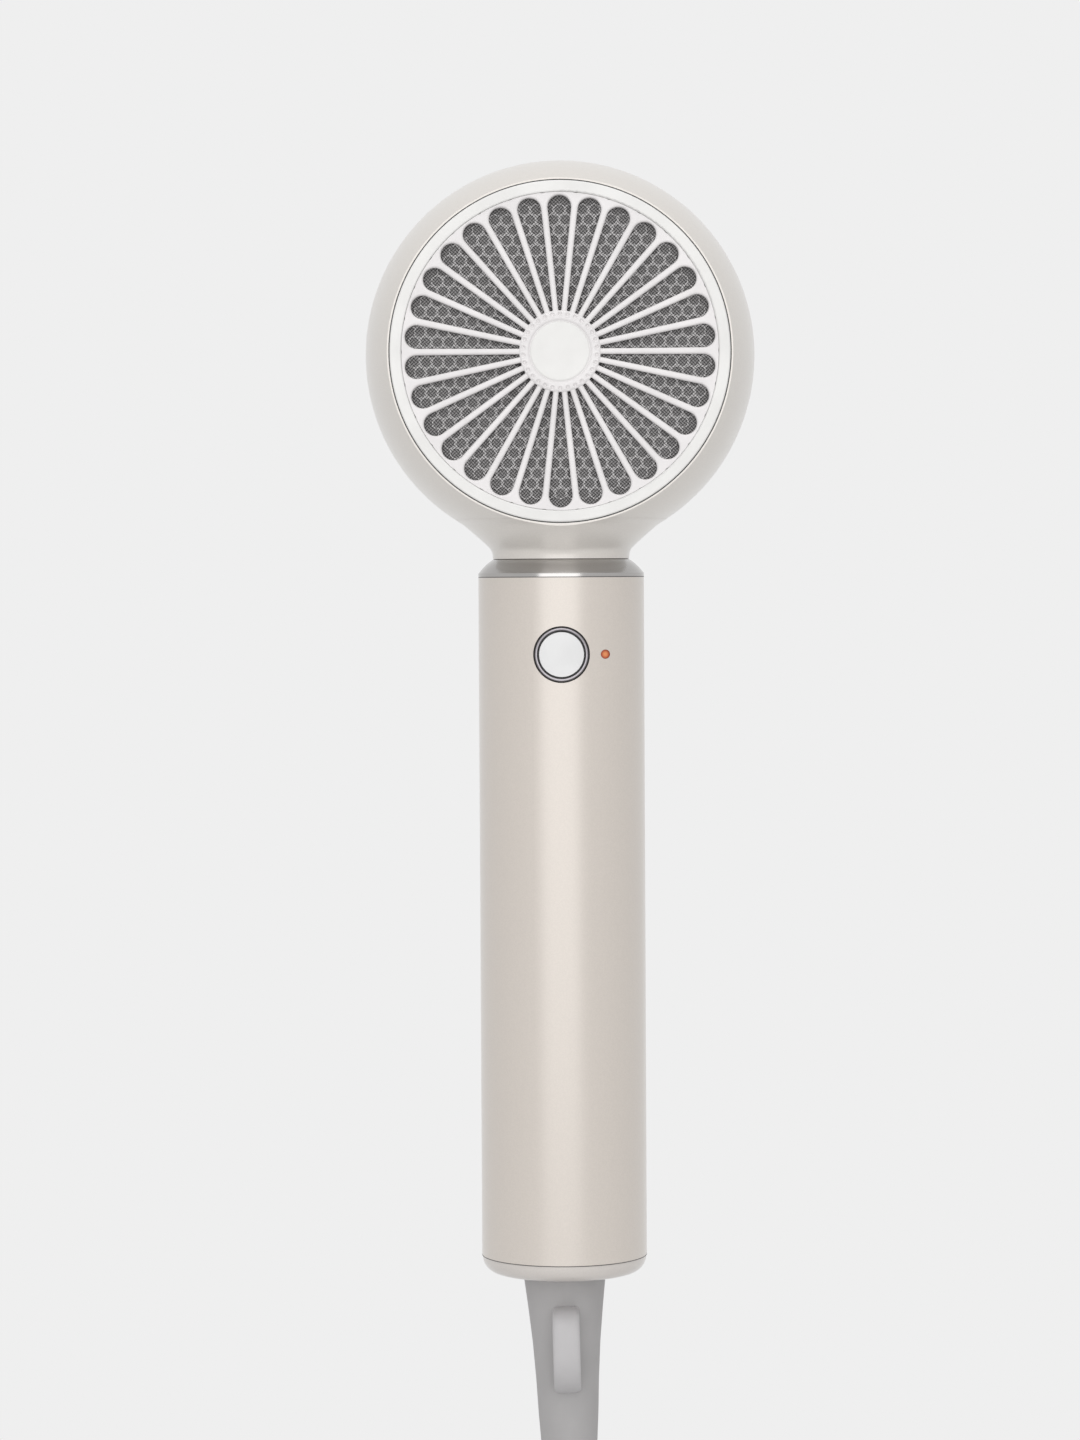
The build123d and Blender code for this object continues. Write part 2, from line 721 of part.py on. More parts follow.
def motor_coils():
    """One winding on each tooth."""
    middle = motor_seat + MOTOR_LENGTH / 2
    half = TOOTH_W / 2 + WINDING_T
    yoke_in = MOTOR_R - MOTOR_WALL - SLIP - YOKE_T
    inner = CORE_BORE_R + SHOE_T + SLIP * 2
    outer = math.sqrt(yoke_in**2 - half**2) - SLIP * 2
    low, high = middle - CORE_LENGTH / 2, middle + CORE_LENGTH / 2
    winding = block((inner, outer), (-half, half), (low - WINDING_T, high + WINDING_T))
    hole = TOOTH_W / 2 + SLIP
    winding -= block((0, MOTOR_R), (-hole, hole), (low - SLIP, high + SLIP))
    return head * Compound(children=around(CORE_TEETH, winding))


def motor_sleeve():
    """Rubber sleeve between the motor and the shroud."""
    inner = MOTOR_R + SLIP
    return head * tube(inner + MOTOR_SLEEVE_T, inner, motor_seat, cone_end)


# ---------------------------------------------------------------- heater
def coil_places():
    """Place of each heating ring along the head's axis."""
    return [boards_start + COIL_START + COIL_PITCH * i for i in range(COIL_RINGS)]


def coil_ring(radius, wire, place):
    return Pos(0, 0, place) * Torus(radius, wire)


def mica_tube():
    """Mica liner round the heater, between the shroud and the outlet ring."""
    high = outlet_step - OUTLET_GRILLE_T - SEAM
    return head * tube(HEATER_R + MICA_T, HEATER_R, cone_end, high)


def mica_boards():
    """Two crossed mica boards, half-lapped into each other and notched for the coils."""
    low, high = boards_start, boards_end
    middle = (low + high) / 2
    reach = HEATER_R - RUN_GAP
    half = BOARD_T / 2
    first = block((-reach, reach), (-half, half), (low, high))
    second = block((-half, half), (-reach, reach), (low, high))
    lap = half + SLIP
    first -= block((-lap, lap), (-lap, lap), (middle, high + 1))
    second -= block((-lap, lap), (-lap, lap), (low - 1, middle))
    for place in coil_places():
        for radius in COIL_AT:
            notch = coil_ring(radius, COIL_WIRE_R + SLIP, place)
            first -= notch
            second -= notch
    return head * Compound(children=[*first.solids(), *second.solids()])


def heater_coils():
    """Rings of wound resistance wire, carried in the boards' notches."""
    rings = [coil_ring(r, COIL_WIRE_R, place) for place in coil_places() for r in COIL_AT]
    return head * Compound(children=rings)


def cutout_place():
    """Middle of the boards' free stretch after the last heating ring."""
    return (coil_places()[-1] + COIL_WIRE_R + boards_end) / 2


def thermostat():
    """Round bimetal cut-out on one board, after the heating rings."""
    at = (COIL_AT[0] + COIL_AT[1]) / 2
    drum = Rot(90, 0, 0) * Cylinder(THERMOSTAT_R, THERMOSTAT_T)
    return head * Pos(at, -(BOARD_T + THERMOSTAT_T) / 2, cutout_place()) * drum


def thermal_fuse():
    """One-shot fuse on the board, across from the thermostat."""
    at = (COIL_AT[0] + COIL_AT[1]) / 2
    fuse = Rot(0, 90, 0) * Cylinder(FUSE_R, FUSE_LENGTH)
    return head * Pos(-at, BOARD_T / 2 + FUSE_R, cutout_place()) * fuse


# ---------------------------------------------------------------- handle
def cross_hole(radius, x, z, depth=12.0):
    """A cylinder through the handle's back side, at x and z."""
    return Pos(x, -HANDLE_R - 1 + depth / 2, z) * Rot(90, 0, 0) * Cylinder(radius, depth)


def handle_tube():
    """Straight tube, with round holes for the button's ring and the lens."""
    body = tube(HANDLE_R, tube_bore, tube_bottom, tube_top)
    return body - cross_hole(RING_R + SLIP, 0, button_z) - cross_hole(LENS_R + SLIP, LENS_X, button_z)


def handle_collar():
    """Polished ring on top of the tube, rounded over to the neck, with a spigot into the tube."""
    bore = NECK_BORE_R + NECK_SPIGOT_WALL + SLIP
    top_r = HANDLE_R - COLLAR_HEIGHT
    return turned(
        (bore, collar_end),
        (spigot_r, collar_end),
        (spigot_r, tube_top),
        (HANDLE_R, tube_top),
        arc((HANDLE_R, tube_top), (top_r, collar_top), (top_r, tube_top)),
        (bore, collar_top),
    )


def neck_nut():
    """Ring nut under the collar, which clamps the neck down on the handle."""
    inner = NECK_BORE_R + NECK_SPIGOT_WALL + SLIP
    nut = tube(spigot_r - 2.0, inner, neck_end, collar_end)
    notch = block((spigot_r - 3.4, spigot_r), (-1.5, 1.5), (neck_end - 1, collar_end + 1))
    for one in around(4, notch):
        nut -= one
    return nut


def button_space(radius):
    """Everything behind the flush step of the handle's surface, inside a radius round the button."""
    return rod(HANDLE_R - FLUSH_STEP, tube_bottom, tube_top) & cross_hole(radius, 0, button_z)


def power_button():
    """Round push button with a collar behind its ring and a stem to the switch."""
    back = skirt_y + SEAT_GAP
    cap = button_space(BUTTON_R) & block((-BUTTON_R, BUTTON_R), (-HANDLE_R, back + SEAT_GAP), (0, tube_top))
    flange = block((-RING_R, RING_R), (back, back + BUTTON_FLANGE_T), (0, tube_top))
    flange = flange & cross_hole(RING_R - SEAT_GAP, 0, button_z)
    stem = Pos(0, (skirt_y + stem_y) / 2, button_z) * Rot(90, 0, 0)
    return cap + flange + stem * Cylinder(BUTTON_STEM[0], stem_y - skirt_y)


def button_bezel():
    """Polished ring set in the tube round the button."""
    ring = button_space(RING_R) - cross_hole(BUTTON_R + RUN_GAP, 0, button_z)
    return ring & block((-RING_R, RING_R), (-HANDLE_R, skirt_y), (0, tube_top))


def switch_plunger():
    """The switch's own small plunger, pushed by the button's stem."""
    radius, length = PLUNGER
    return Pos(0, stem_y + length / 2, button_z) * Rot(90, 0, 0) * Cylinder(radius, length)


def tact_switch():
    """Square tact switch with the plunger's well."""
    half = SWITCH_W / 2
    body = block((-half, half), (switch_y, switch_board_y), (button_z - half, button_z + half))
    return body - Pos(0, switch_y, button_z) * Rot(90, 0, 0) * Cylinder(PLUNGER[0] + RUN_GAP, SWITCH_W)


def switch_board():
    """Small circuit board behind the button."""
    half = SWITCH_BOARD_W / 2
    y = (switch_board_y, switch_board_y + BOARD_PCB_T)
    return block((-half, half), y, (switch_board_top - SWITCH_BOARD_H, switch_board_top))


def indicator_led():
    """Square LED on the switch board, under the lens."""
    half = LED_W / 2
    x = (LENS_X - half, LENS_X + half)
    return block(x, (switch_board_y - LED_T, switch_board_y), (button_z - half, button_z + half))


def indicator_lens():
    """Light pipe from the LED to the handle's surface."""
    pipe = cross_hole(LENS_R, LENS_X, button_z, 40) & block(
        (0, HANDLE_R), (-HANDLE_R, switch_board_y - LED_T - SLIP), (0, tube_top)
    )
    return pipe & rod(HANDLE_R - FLUSH_STEP, tube_bottom, tube_top)




def post(x, z, low, high):
    return Pos(x, (low + high) / 2, z) * Rot(90, 0, 0) * Cylinder(POST_R, high - low)


def handle_frame():
    """Moulded plate across the tube, with posts for both boards and two legs down to the cap."""
    half = math.sqrt((tube_bore - SLIP * 2) ** 2 - (PLATE_T / 2) ** 2)
    leg_end = tube_bottom + CAP_SPIGOT + SEAT_GAP
    plate = block((-half, half), (-PLATE_T / 2, PLATE_T / 2), (frame_bottom, frame_top))
    for side in (-1, 1):
        x = sorted((side * half, side * (half - LEG_W)))
        plate += block(x, (-PLATE_T / 2, PLATE_T / 2), (leg_end, frame_bottom))
        for z in (switch_board_top - POST_IN, switch_board_top - SWITCH_BOARD_H + POST_IN):
            plate += post(side * (SWITCH_BOARD_W / 2 - POST_IN), z, switch_board_y + BOARD_PCB_T, 0)
        for up in CONTROL_POSTS:
            plate += post(side * (CONTROL_BOARD_W / 2 - POST_IN), frame_bottom + up, 0, control_y)
    return plate


def control_board():
    """Motor and heater control board."""
    half = CONTROL_BOARD_W / 2
    return block((-half, half), (control_y, board_face), (frame_bottom, frame_bottom + CONTROL_BOARD_H))


def bulk_capacitor():
    """Smoothing capacitor lying on the control board."""
    across, up = CAPACITOR_AT
    return Pos(across, board_face + CAPACITOR[0], frame_bottom + up) * Cylinder(*CAPACITOR)


def choke():
    """Drum choke of the mains filter."""
    outer, core, length, thick = CHOKE
    across, up = CHOKE_AT
    drum = Cylinder(core, length)
    for side in (-1, 1):
        drum += Pos(0, 0, side * (length - thick) / 2) * Cylinder(outer, thick)
    return Pos(across, board_face + length / 2, frame_bottom + up) * Rot(90, 0, 0) * drum


def heat_sink():
    """Finned heat sink of the heater's power switch."""
    width, depth, height, base = SINK
    across, up = SINK_AT
    z = (frame_bottom + up, frame_bottom + up + height)
    sink = block((across, across + width), (board_face, board_face + base), z)
    for i in range(SINK_FINS):
        x = across + i * (width - SINK_FIN_T) / (SINK_FINS - 1)
        sink += block((x, x + SINK_FIN_T), (board_face, board_face + depth), z)
    return sink


def filter_capacitor():
    """Moulded film capacitor of the mains filter."""
    width, depth, height, corner = FILM
    across, up = FILM_AT
    z = (frame_bottom + up, frame_bottom + up + height)
    box = block((across, across + width), (board_face, board_face + depth), z)
    return fillet(box.edges().filter_by(Axis.Z), corner)


def end_cap():
    """Bottom cap with a rounded edge, a spigot into the tube and the posts for the cord clamp."""
    corner = CAP_HEIGHT - SEAM - 0.2
    outer = HANDLE_R - SEAM
    middle = (outer - corner, cap_bottom + corner)
    body = turned(
        (RELIEF_GROOVE_R + SLIP, cap_bottom),
        (outer - corner, cap_bottom),
        arc((outer - corner, cap_bottom), (outer, cap_bottom + corner), middle),
        (outer, tube_bottom - SEAM),
        (spigot_r, tube_bottom - SEAM),
        (spigot_r, tube_bottom + CAP_SPIGOT),
        (spigot_r - SPIGOT_WALL, tube_bottom + CAP_SPIGOT),
        (spigot_r - SPIGOT_WALL, cap_bottom + CAP_FLOOR),
        (RELIEF_GROOVE_R + SLIP, cap_bottom + CAP_FLOOR),
    )
    for side in (-1, 1):
        body += Pos(side * CLAMP_X, 0, 0) * rod(CLAMP_POST_R, cap_bottom + CAP_FLOOR - SEAT_GAP, clamp_z)
    return body


def cord_clamp():
    """Bar that grips the cord above the strain relief."""
    width, thick = CLAMP_BAR
    reach = CLAMP_X + CLAMP_POST_R + RUN_GAP
    bar = block((-reach, reach), (-width / 2, width / 2), (clamp_z, clamp_z + thick))
    bar = fillet(bar.edges().filter_by(Axis.Z), CLAMP_SCREW[0])
    return bar - rod(CORD_D / 2 + SLIP, clamp_z - thick, clamp_z + thick * 2)


def clamp_screws():
    """Two pan-head screws that hold the clamp on the cap's posts."""
    radius, height = CLAMP_SCREW
    low = clamp_z + CLAMP_BAR[1]
    heads = [Pos(side * CLAMP_X, 0, 0) * rod(radius, low, low + height) for side in (-1, 1)]
    return Compound(children=heads)


# ---------------------------------------------------------------- strain relief and cord
lean = math.radians(RELIEF_LEAN)
relief_frame = Pos(0, 0, cap_bottom) * Rot(0, -RELIEF_LEAN, 0)
relief_length = RELIEF_RADII[-1][0]


def relief_point(down):
    """Point on the strain relief's middle line."""
    return (math.sin(lean) * down, 0.0, cap_bottom - math.cos(lean) * down)


def cord_core(radius, top, down):
    """A round bar down the handle's axis that turns to follow the strain relief."""
    path = FilletPolyline((0, 0, top), (0, 0, cap_bottom), relief_point(down), radius=CORE_BEND_R)
    return sweep(Plane(origin=path @ 0, z_dir=path % 0) * Circle(radius), path=path)


def strain_relief():
    """Rubber sleeve through the cap's floor, tapering down the cord, with its hanging loop."""
    side = Spline(*[(r, -down) for down, r in RELIEF_RADII])
    tip_r = RELIEF_RADII[-1][1]
    base_r = RELIEF_RADII[0][1]
    body = turned((0, 1.0), (base_r, 1.0), side, (0, -relief_length))
    loop_low = -(LOOP_FROM + LOOP_H)
    reach = RELIEF_RADII[1][1] + LOOP_GAP + LOOP_STRAP
    half_depth, corner = 10.0, 4.6
    middle = Pos(half_depth - reach, (loop_low - LOOP_FROM) / 2)
    side_view = middle * RectangleRounded(2 * half_depth, LOOP_H, corner)
    hole = RectangleRounded(2 * half_depth, LOOP_H - 2 * LOOP_STRAP, corner - LOOP_STRAP)
    side_view -= middle * Pos(LOOP_STRAP, 0) * hole
    strap = extrude(Plane.YZ * side_view, LOOP_W / 2, both=True)
    front_view = Pos(0, (loop_low - LOOP_FROM) / 2)
    front_view = front_view * RectangleRounded(LOOP_W, LOOP_H, LOOP_W / 2 - 0.05)
    strap = strap & extrude(Plane.XZ * front_view, reach + 2)
    outside = relief_frame * (body + strap)
    below = block((-30, 30), (-30, 30), (cap_bottom - relief_length - 5, cap_bottom))
    throat = rod(RELIEF_GROOVE_R, cap_bottom, cap_bottom + CAP_FLOOR)
    flange = rod(RELIEF_FLANGE_R, cap_bottom + CAP_FLOOR, cap_bottom + CAP_FLOOR + RELIEF_FLANGE_T)
    bore = cord_core(CORD_D / 2 + SLIP, clamp_z, relief_length + 2)
    return (outside & below) + throat + flange - bore


def cord_inside():
    """The cord's end inside the strain relief and the clamp."""
    return cord_core(CORD_D / 2, clamp_z + CORD_TAIL_IN, relief_length)


# Free cord, tied up for storage as a hank in line with the handle. Route points of its open ends.
HANK_TOP = -178.0
ENTRY_ROUTE = [
    relief_point(relief_length),
    relief_point(relief_length + 13.0),
    (-0.4, -2.6, -168.0),
    (-6.6, -7.2, -183.0),
    (-15.0, -11.2, -197.0),
]
TAIL_ROUTE = [
    (-18.6, 15.2, -196.0),
    (-17.2, 20.6, -208.0),
    (-12.8, 25.6, -218.5),
    (-8.6, 29.0, -229.5),
    (-6.6, 30.6, -241.0),
    (-6.6, 30.6, -252.5),
]
fold = HANK_FOLD_R + CORD_D / 2
hank_middle = HANK_TOP - HANK_LENGTH / 2
fold_away = HANK_LENGTH / 2 - fold
hank_half = HANK_TURNS * CORD_D / 2


def cord_tube(route):
    """Round cord along straight runs joined by arcs as large as the runs allow."""
    points = [Vector(*p) for p in route]
    radii = []
    for before, here, after in zip(points, points[1:], points[2:]):
        a, b = here - before, after - here
        turn = math.radians(a.get_angle(b))
        radii.append(0.45 * min(a.length, b.length) / math.tan(turn / 2))
    print("cord arc radii", [round(r, 1) for r in radii])
    path = FilletPolyline(*points, radius=radii)
    section = Plane(origin=path @ 0, z_dir=path % 0) * Circle(CORD_D / 2)
    solid = sweep(section, path=path)
    print("cord volume over section times length", solid.volume / (math.pi * CORD_D**2 / 4 * path.length))
    return solid


def hank_outline(inset):
    """The hank seen from the front, narrowed at the tie; inset takes its edge inwards."""
    waist = HANK_WAIST + CORD_D / 2
    side_r = (waist**2 + fold_away**2 - fold**2) / (2 * (fold - waist))
    side_x = side_r + waist
    share = (fold - inset) / (side_r + fold)
    touch = (side_x * share, fold_away - fold_away * share)
    edges = []
    for half in (1, -1):
        a = (touch[0] * half, touch[1] * half)
        b = (-touch[0] * half, touch[1] * half)
        edges.append(ThreePointArc(a, (0, (fold_away + fold - inset) * half), b))
        edges.append(
            ThreePointArc(b, (-(waist - inset) * half, 0), (-touch[0] * half, -touch[1] * half))
        )
    return Pos(0, hank_middle) * make_face(Curve() + edges)


def cord_hank(entry, tail):
    """Outer shape of the cord's folded turns."""
    section = hank_outline(0) - hank_outline(CORD_D)
    body = extrude(Plane.XZ * section, hank_half, both=True)
    rims = body.edges().filter_by(lambda e: abs(abs(e.center().Y) - hank_half) < SLIP)
    return fillet(rims, HANK_EDGE) - entry - tail


def cord_tie():
    """Strap round the hank's waist."""
    inner_x = HANK_WAIST + CORD_D / 2 + 0.6
    inner_y = hank_half + SEAT_GAP
    outer = RectangleRounded(2 * (inner_x + TIE_T), 2 * (inner_y + TIE_T), 4.0)
    inner = RectangleRounded(2 * inner_x, 2 * inner_y, 3.0)
    return Pos(0, 0, hank_middle - TIE_H / 2) * extrude(outer - inner, TIE_H)


def plug_frame():
    """The plug hangs from the cord's end, with its pins down."""
    end = TAIL_ROUTE[-1]
    return Pos(end[0], end[1], end[2])


def plug():
    """Moulded mains plug with a ribbed sleeve at the cord's entry."""
    sleeve_r, sleeve = PLUG_SLEEVE
    sections = []
    for down, wide, thick, corner in (
        (sleeve - 1.0, sleeve_r * 2 + 0.2, sleeve_r * 2 - 0.8, 4.9),
        (sleeve + PLUG_SHOULDER, PLUG_W - 5.0, PLUG_T - 3.0, 8.0),
        (sleeve + PLUG_H / 2 + PLUG_SHOULDER / 2, PLUG_W - 1.0, PLUG_T - 0.6, 9.0),
        (sleeve + PLUG_H, PLUG_W, PLUG_T, 9.0),
    ):
        sections.append(Plane.XY.offset(-down) * RectangleRounded(wide, thick, corner))
    body = loft(sections[:2], ruled=True) + loft(sections[1:], ruled=True)
    neck_r = CORD_D / 2 + 0.7
    neck = turned((0, 0), (neck_r, 0), (sleeve_r, -sleeve), (0, -sleeve))
    pitch = (sleeve - 2.4) / PLUG_GROOVES
    for i in range(PLUG_GROOVES):
        at = -3.0 - pitch * i
        neck -= tube(sleeve_r + 2.0, neck_r - 0.2, at - 1.0, at)
    return plug_frame() * (body + neck)


def plug_pins():
    """Two round pins."""
    low = -(PLUG_SLEEVE[1] + PLUG_H + PIN_LENGTH)
    pin = turned(
        (0, low),
        (PIN_R - 0.8, low),
        (PIN_R, low + 1.2),
        (PIN_R, low + PIN_LENGTH),
        (0, low + PIN_LENGTH),
    )
    pair = [Pos(side * PIN_SPACING / 2, 0, 0) * pin for side in (-1, 1)]
    return plug_frame() * Compound(children=pair)


# ---------------------------------------------------------------- write the sub-parts
os.makedirs("parts", exist_ok=True)
entry_tube = cord_tube(ENTRY_ROUTE)
tail_tube = cord_tube(TAIL_ROUTE)
SHAPES = {
    "head_shell": head_shell,
    "front_shell": front_shell,
    "outlet_ring": outlet_ring,
    "outlet_grille": outlet_grille,
    "inner_guard": inner_guard,
    "inlet_bezel": inlet_bezel,
    "inlet_grille": inlet_grille,
    "hub_cap": hub_cap,
    "filter_mesh": filter_mesh,
    "filter_frame": filter_frame,
    "cover_magnets": cover_magnets,
    "fan_shroud": fan_shroud,
    "fan_screws": fan_screws,
    "impeller": impeller,
    "motor_shaft": motor_shaft,
    "rotor_magnet": rotor_magnet,
    "motor_housing": motor_housing,
    "motor_end_cap": motor_end_cap,
    "motor_bearings": motor_bearings,
    "motor_core": motor_core,
    "motor_coils": motor_coils,
    "motor_sleeve": motor_sleeve,
    "mica_tube": mica_tube,
    "mica_boards": mica_boards,
    "heater_coils": heater_coils,
    "thermostat": thermostat,
    "thermal_fuse": thermal_fuse,
    "handle_tube": handle_tube,
    "handle_collar": handle_collar,
    "neck_nut": neck_nut,
    "power_button": power_button,
    "button_bezel": button_bezel,
    "switch_plunger": switch_plunger,
    "tact_switch": tact_switch,
    "switch_board": switch_board,
    "indicator_led": indicator_led,
    "indicator_lens": indicator_lens,
    "handle_frame": handle_frame,
    "control_board": control_board,
    "bulk_capacitor": bulk_capacitor,
    "choke": choke,
    "heat_sink": heat_sink,
    "filter_capacitor": filter_capacitor,
    "end_cap": end_cap,
    "cord_clamp": cord_clamp,
    "clamp_screws": clamp_screws,
    "strain_relief": strain_relief,
    "cord_inside": cord_inside,
    "cord_tie": cord_tie,
    "plug": plug,
    "plug_pins": plug_pins,
}
for node, make in SHAPES.items():
    save(node, make())
save("cord", entry_tube)
save("cord_tail", tail_tube)
save("cord_hank", cord_hank(entry_tube, tail_tube))
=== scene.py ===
import json
import math

import bmesh
import bpy
from mathutils import Matrix, Vector


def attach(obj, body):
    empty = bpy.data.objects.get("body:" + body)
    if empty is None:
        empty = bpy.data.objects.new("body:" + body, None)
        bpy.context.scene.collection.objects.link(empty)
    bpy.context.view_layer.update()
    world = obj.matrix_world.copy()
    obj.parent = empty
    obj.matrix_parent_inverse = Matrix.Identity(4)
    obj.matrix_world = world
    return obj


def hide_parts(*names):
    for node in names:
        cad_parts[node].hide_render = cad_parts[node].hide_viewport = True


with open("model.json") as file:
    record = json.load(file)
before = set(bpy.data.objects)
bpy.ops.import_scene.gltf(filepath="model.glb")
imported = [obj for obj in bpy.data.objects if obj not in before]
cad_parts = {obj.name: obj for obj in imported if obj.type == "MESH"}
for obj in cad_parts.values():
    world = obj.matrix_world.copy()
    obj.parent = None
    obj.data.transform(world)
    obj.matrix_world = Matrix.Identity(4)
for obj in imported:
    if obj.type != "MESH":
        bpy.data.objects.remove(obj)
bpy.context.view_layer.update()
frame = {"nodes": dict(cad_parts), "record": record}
nodes = frame["nodes"]
scene = bpy.context.scene
scene.view_settings.view_transform = "Standard"

# ---------------------------------------------------------------- camera
# Long lens at a little under a metre, square on to the inlet and looking slightly down.
camera_data = bpy.data.cameras.new("camera")
camera = bpy.data.objects.new("camera", camera_data)
scene.collection.objects.link(camera)
camera_data.lens = 104.5
camera_data.sensor_width = 36
yaw, pitch, roll = (math.radians(turn) for turn in (0.30, -1.96, -0.30))
camera.matrix_world = (
    Matrix.Translation((0, -0.960, 0.078))
    @ Matrix.Rotation(yaw, 4, "Z")
    @ Matrix.Rotation(math.radians(90) + pitch, 4, "X")
    @ Matrix.Rotation(roll, 4, "Z")
)
scene.camera = camera

# ---------------------------------------------------------------- cord
# Round mains lead, moulded rubber jacket 7 mm thick. It leaves the strain relief, is wound into
# a hank of five laps in line with the handle, and comes out behind it to the plug.
CORD = 0.007
LAYER = 0.00705
RELIEF_TIP = (0.001316, 0.0, -0.139985)
PLUG_TOP = (-0.0066, 0.0306, -0.2525)
LAPS = 5
HANK_MIDDLE = -0.248
# radius of the folds, their distance from the middle, and half the width of the waist between them
FOLD, FOLD_AWAY, WAIST = 0.0219, 0.0446, 0.009
LAP_SLACK = (0.0, 0.0012, 0.0004, 0.0010, 0.0002)
FOLD_CORNERS = 8
CROSSING = 4.5  # corners of the top fold over which a lap moves to the next layer
side_r = (WAIST**2 + FOLD_AWAY**2 - FOLD**2) / (2 * (FOLD - WAIST))
meet = math.asin(FOLD_AWAY / (side_r + FOLD))
fold_step = (math.pi + 2 * meet) / FOLD_CORNERS
near = math.atan(FOLD * math.tan(fold_step / 2) / side_r)
inner = (meet - 2 * near) / 3


def smooth(share):
    share = min(max(share, 0.0), 1.0)
    return share * share * (3 - 2 * share)


def fold_points(side):
    """Corners round the top fold, side 1, or the bottom one, side -1, as the cord runs."""
    reach = FOLD / math.cos(fold_step / 2)
    first = -meet if side > 0 else math.pi - meet
    for i in range(FOLD_CORNERS):
        turn = first + fold_step * (i + 0.5)
        yield reach * math.cos(turn), side * FOLD_AWAY + reach * math.sin(turn)


def side_points(side):
    """Five corners along the drawn-in side, up on the right, 1, and down on the left, -1."""
    end = meet - near
    corners = ((-end, near), (-2 * inner, inner), (0, inner), (2 * inner, inner), (end, near))
    for turn, half in corners:
        reach = side_r / math.cos(half)
        across = side_r + WAIST - reach * math.cos(turn)
        yield side * across, side * reach * math.sin(turn)


route = [
    RELIEF_TIP,
    (0.00161, 0.0, -0.15298),
    (0.0008, -0.0056, -0.1655),
    (-0.0032, -0.0130, -0.1770),
    (-0.0092, -0.0168, -0.1890),
    (-0.0142, -0.0166, -0.2030),
    (-0.0142, -0.0148, -0.2200),
]
for lap in range(LAPS):
    layer = (lap - (LAPS - 1) / 2) * LAYER
    loop = [(x, layer, HANK_MIDDLE + z) for x, z in side_points(-1)]
    loop += [(x, layer, HANK_MIDDLE - LAP_SLACK[lap] + z) for x, z in fold_points(-1)]
    loop += [(x, layer, HANK_MIDDLE + z) for x, z in side_points(1)]
    for i, (x, z) in enumerate(fold_points(1)):
        over = layer + LAYER * smooth((i + 1) / CROSSING)
        loop.append((x, over, HANK_MIDDLE + LAP_SLACK[lap] + z))
    if lap == 0:
        loop = loop[2:]
    if lap == LAPS - 1:
        loop = loop[:-1]
    route += loop
route += [
    (-0.0220, 0.0222, -0.2098),
    (-0.0188, 0.0242, -0.2205),
    (-0.0140, 0.0272, -0.2300),
    (-0.0094, 0.0297, -0.2378),
    (-0.0066, 0.0306, -0.2450),
    PLUG_TOP,
]


def nurbs(name, points, radius):
    curve = bpy.data.curves.new(name, "CURVE")
    curve.dimensions = "3D"
    spline = curve.splines.new("NURBS")
    spline.points.add(len(points) - 1)
    for point, place in zip(spline.points, points):
        point.co = (*place, 1)
        point.radius = radius
    spline.order_u = 3
    spline.use_endpoint_u = True
    curve.bevel_depth = 1
    curve.bevel_resolution = 8
    curve.resolution_u = 8
    curve.use_fill_caps = True
    piece = bpy.data.objects.new(name, curve)
    scene.collection.objects.link(piece)
    return piece


lead = nurbs("mains_lead", route, CORD / 2)

# ---------------------------------------------------------------- floor and light
# Pale studio sweep well below the hank, a wide soft lamp in front, a smaller one overhead and an
# even surround.
BACKGROUND_GREY = 239
FLOOR_Z = -0.335


class Value:
    """A shader socket which takes part in sums."""

    def __init__(self, tree, socket):
        self.tree, self.socket = tree, socket

    def math(self, operation, *others):
        node = self.tree.nodes.new("ShaderNodeMath")
        node.operation = operation
        for place, value in enumerate((self, *others)):
            plug(self.tree, value, node.inputs[place])
        return Value(self.tree, node.outputs[0])

    def __add__(self, other):
        return self.math("ADD", other)

    def __sub__(self, other):
        return self.math("SUBTRACT", other)

    def __mul__(self, other):
        return self.math("MULTIPLY", other)

    def __pow__(self, other):
        return self.math("POWER", other)

    def between(self, low, high):
        """0 at low and under, 1 at high and over, smooth between."""
        node = self.tree.nodes.new("ShaderNodeMapRange")
        node.interpolation_type = "SMOOTHSTEP"
        plug(self.tree, self, node.inputs["Value"])
        node.inputs["From Min"].default_value = low
        node.inputs["From Max"].default_value = high
        return Value(self.tree, node.outputs["Result"])


def plug(tree, value, socket):
    if isinstance(value, Value):
        tree.links.new(value.socket, socket)
    else:
        socket.default_value = value


def tint(red, green, blue):
    """Linear colour from values as seen on a screen, 0 to 255."""
    shares = [c / 255 for c in (red, green, blue)]
    return (*[s / 12.92 if s <= 0.04045 else ((s + 0.055) / 1.055) ** 2.4 for s in shares], 1)


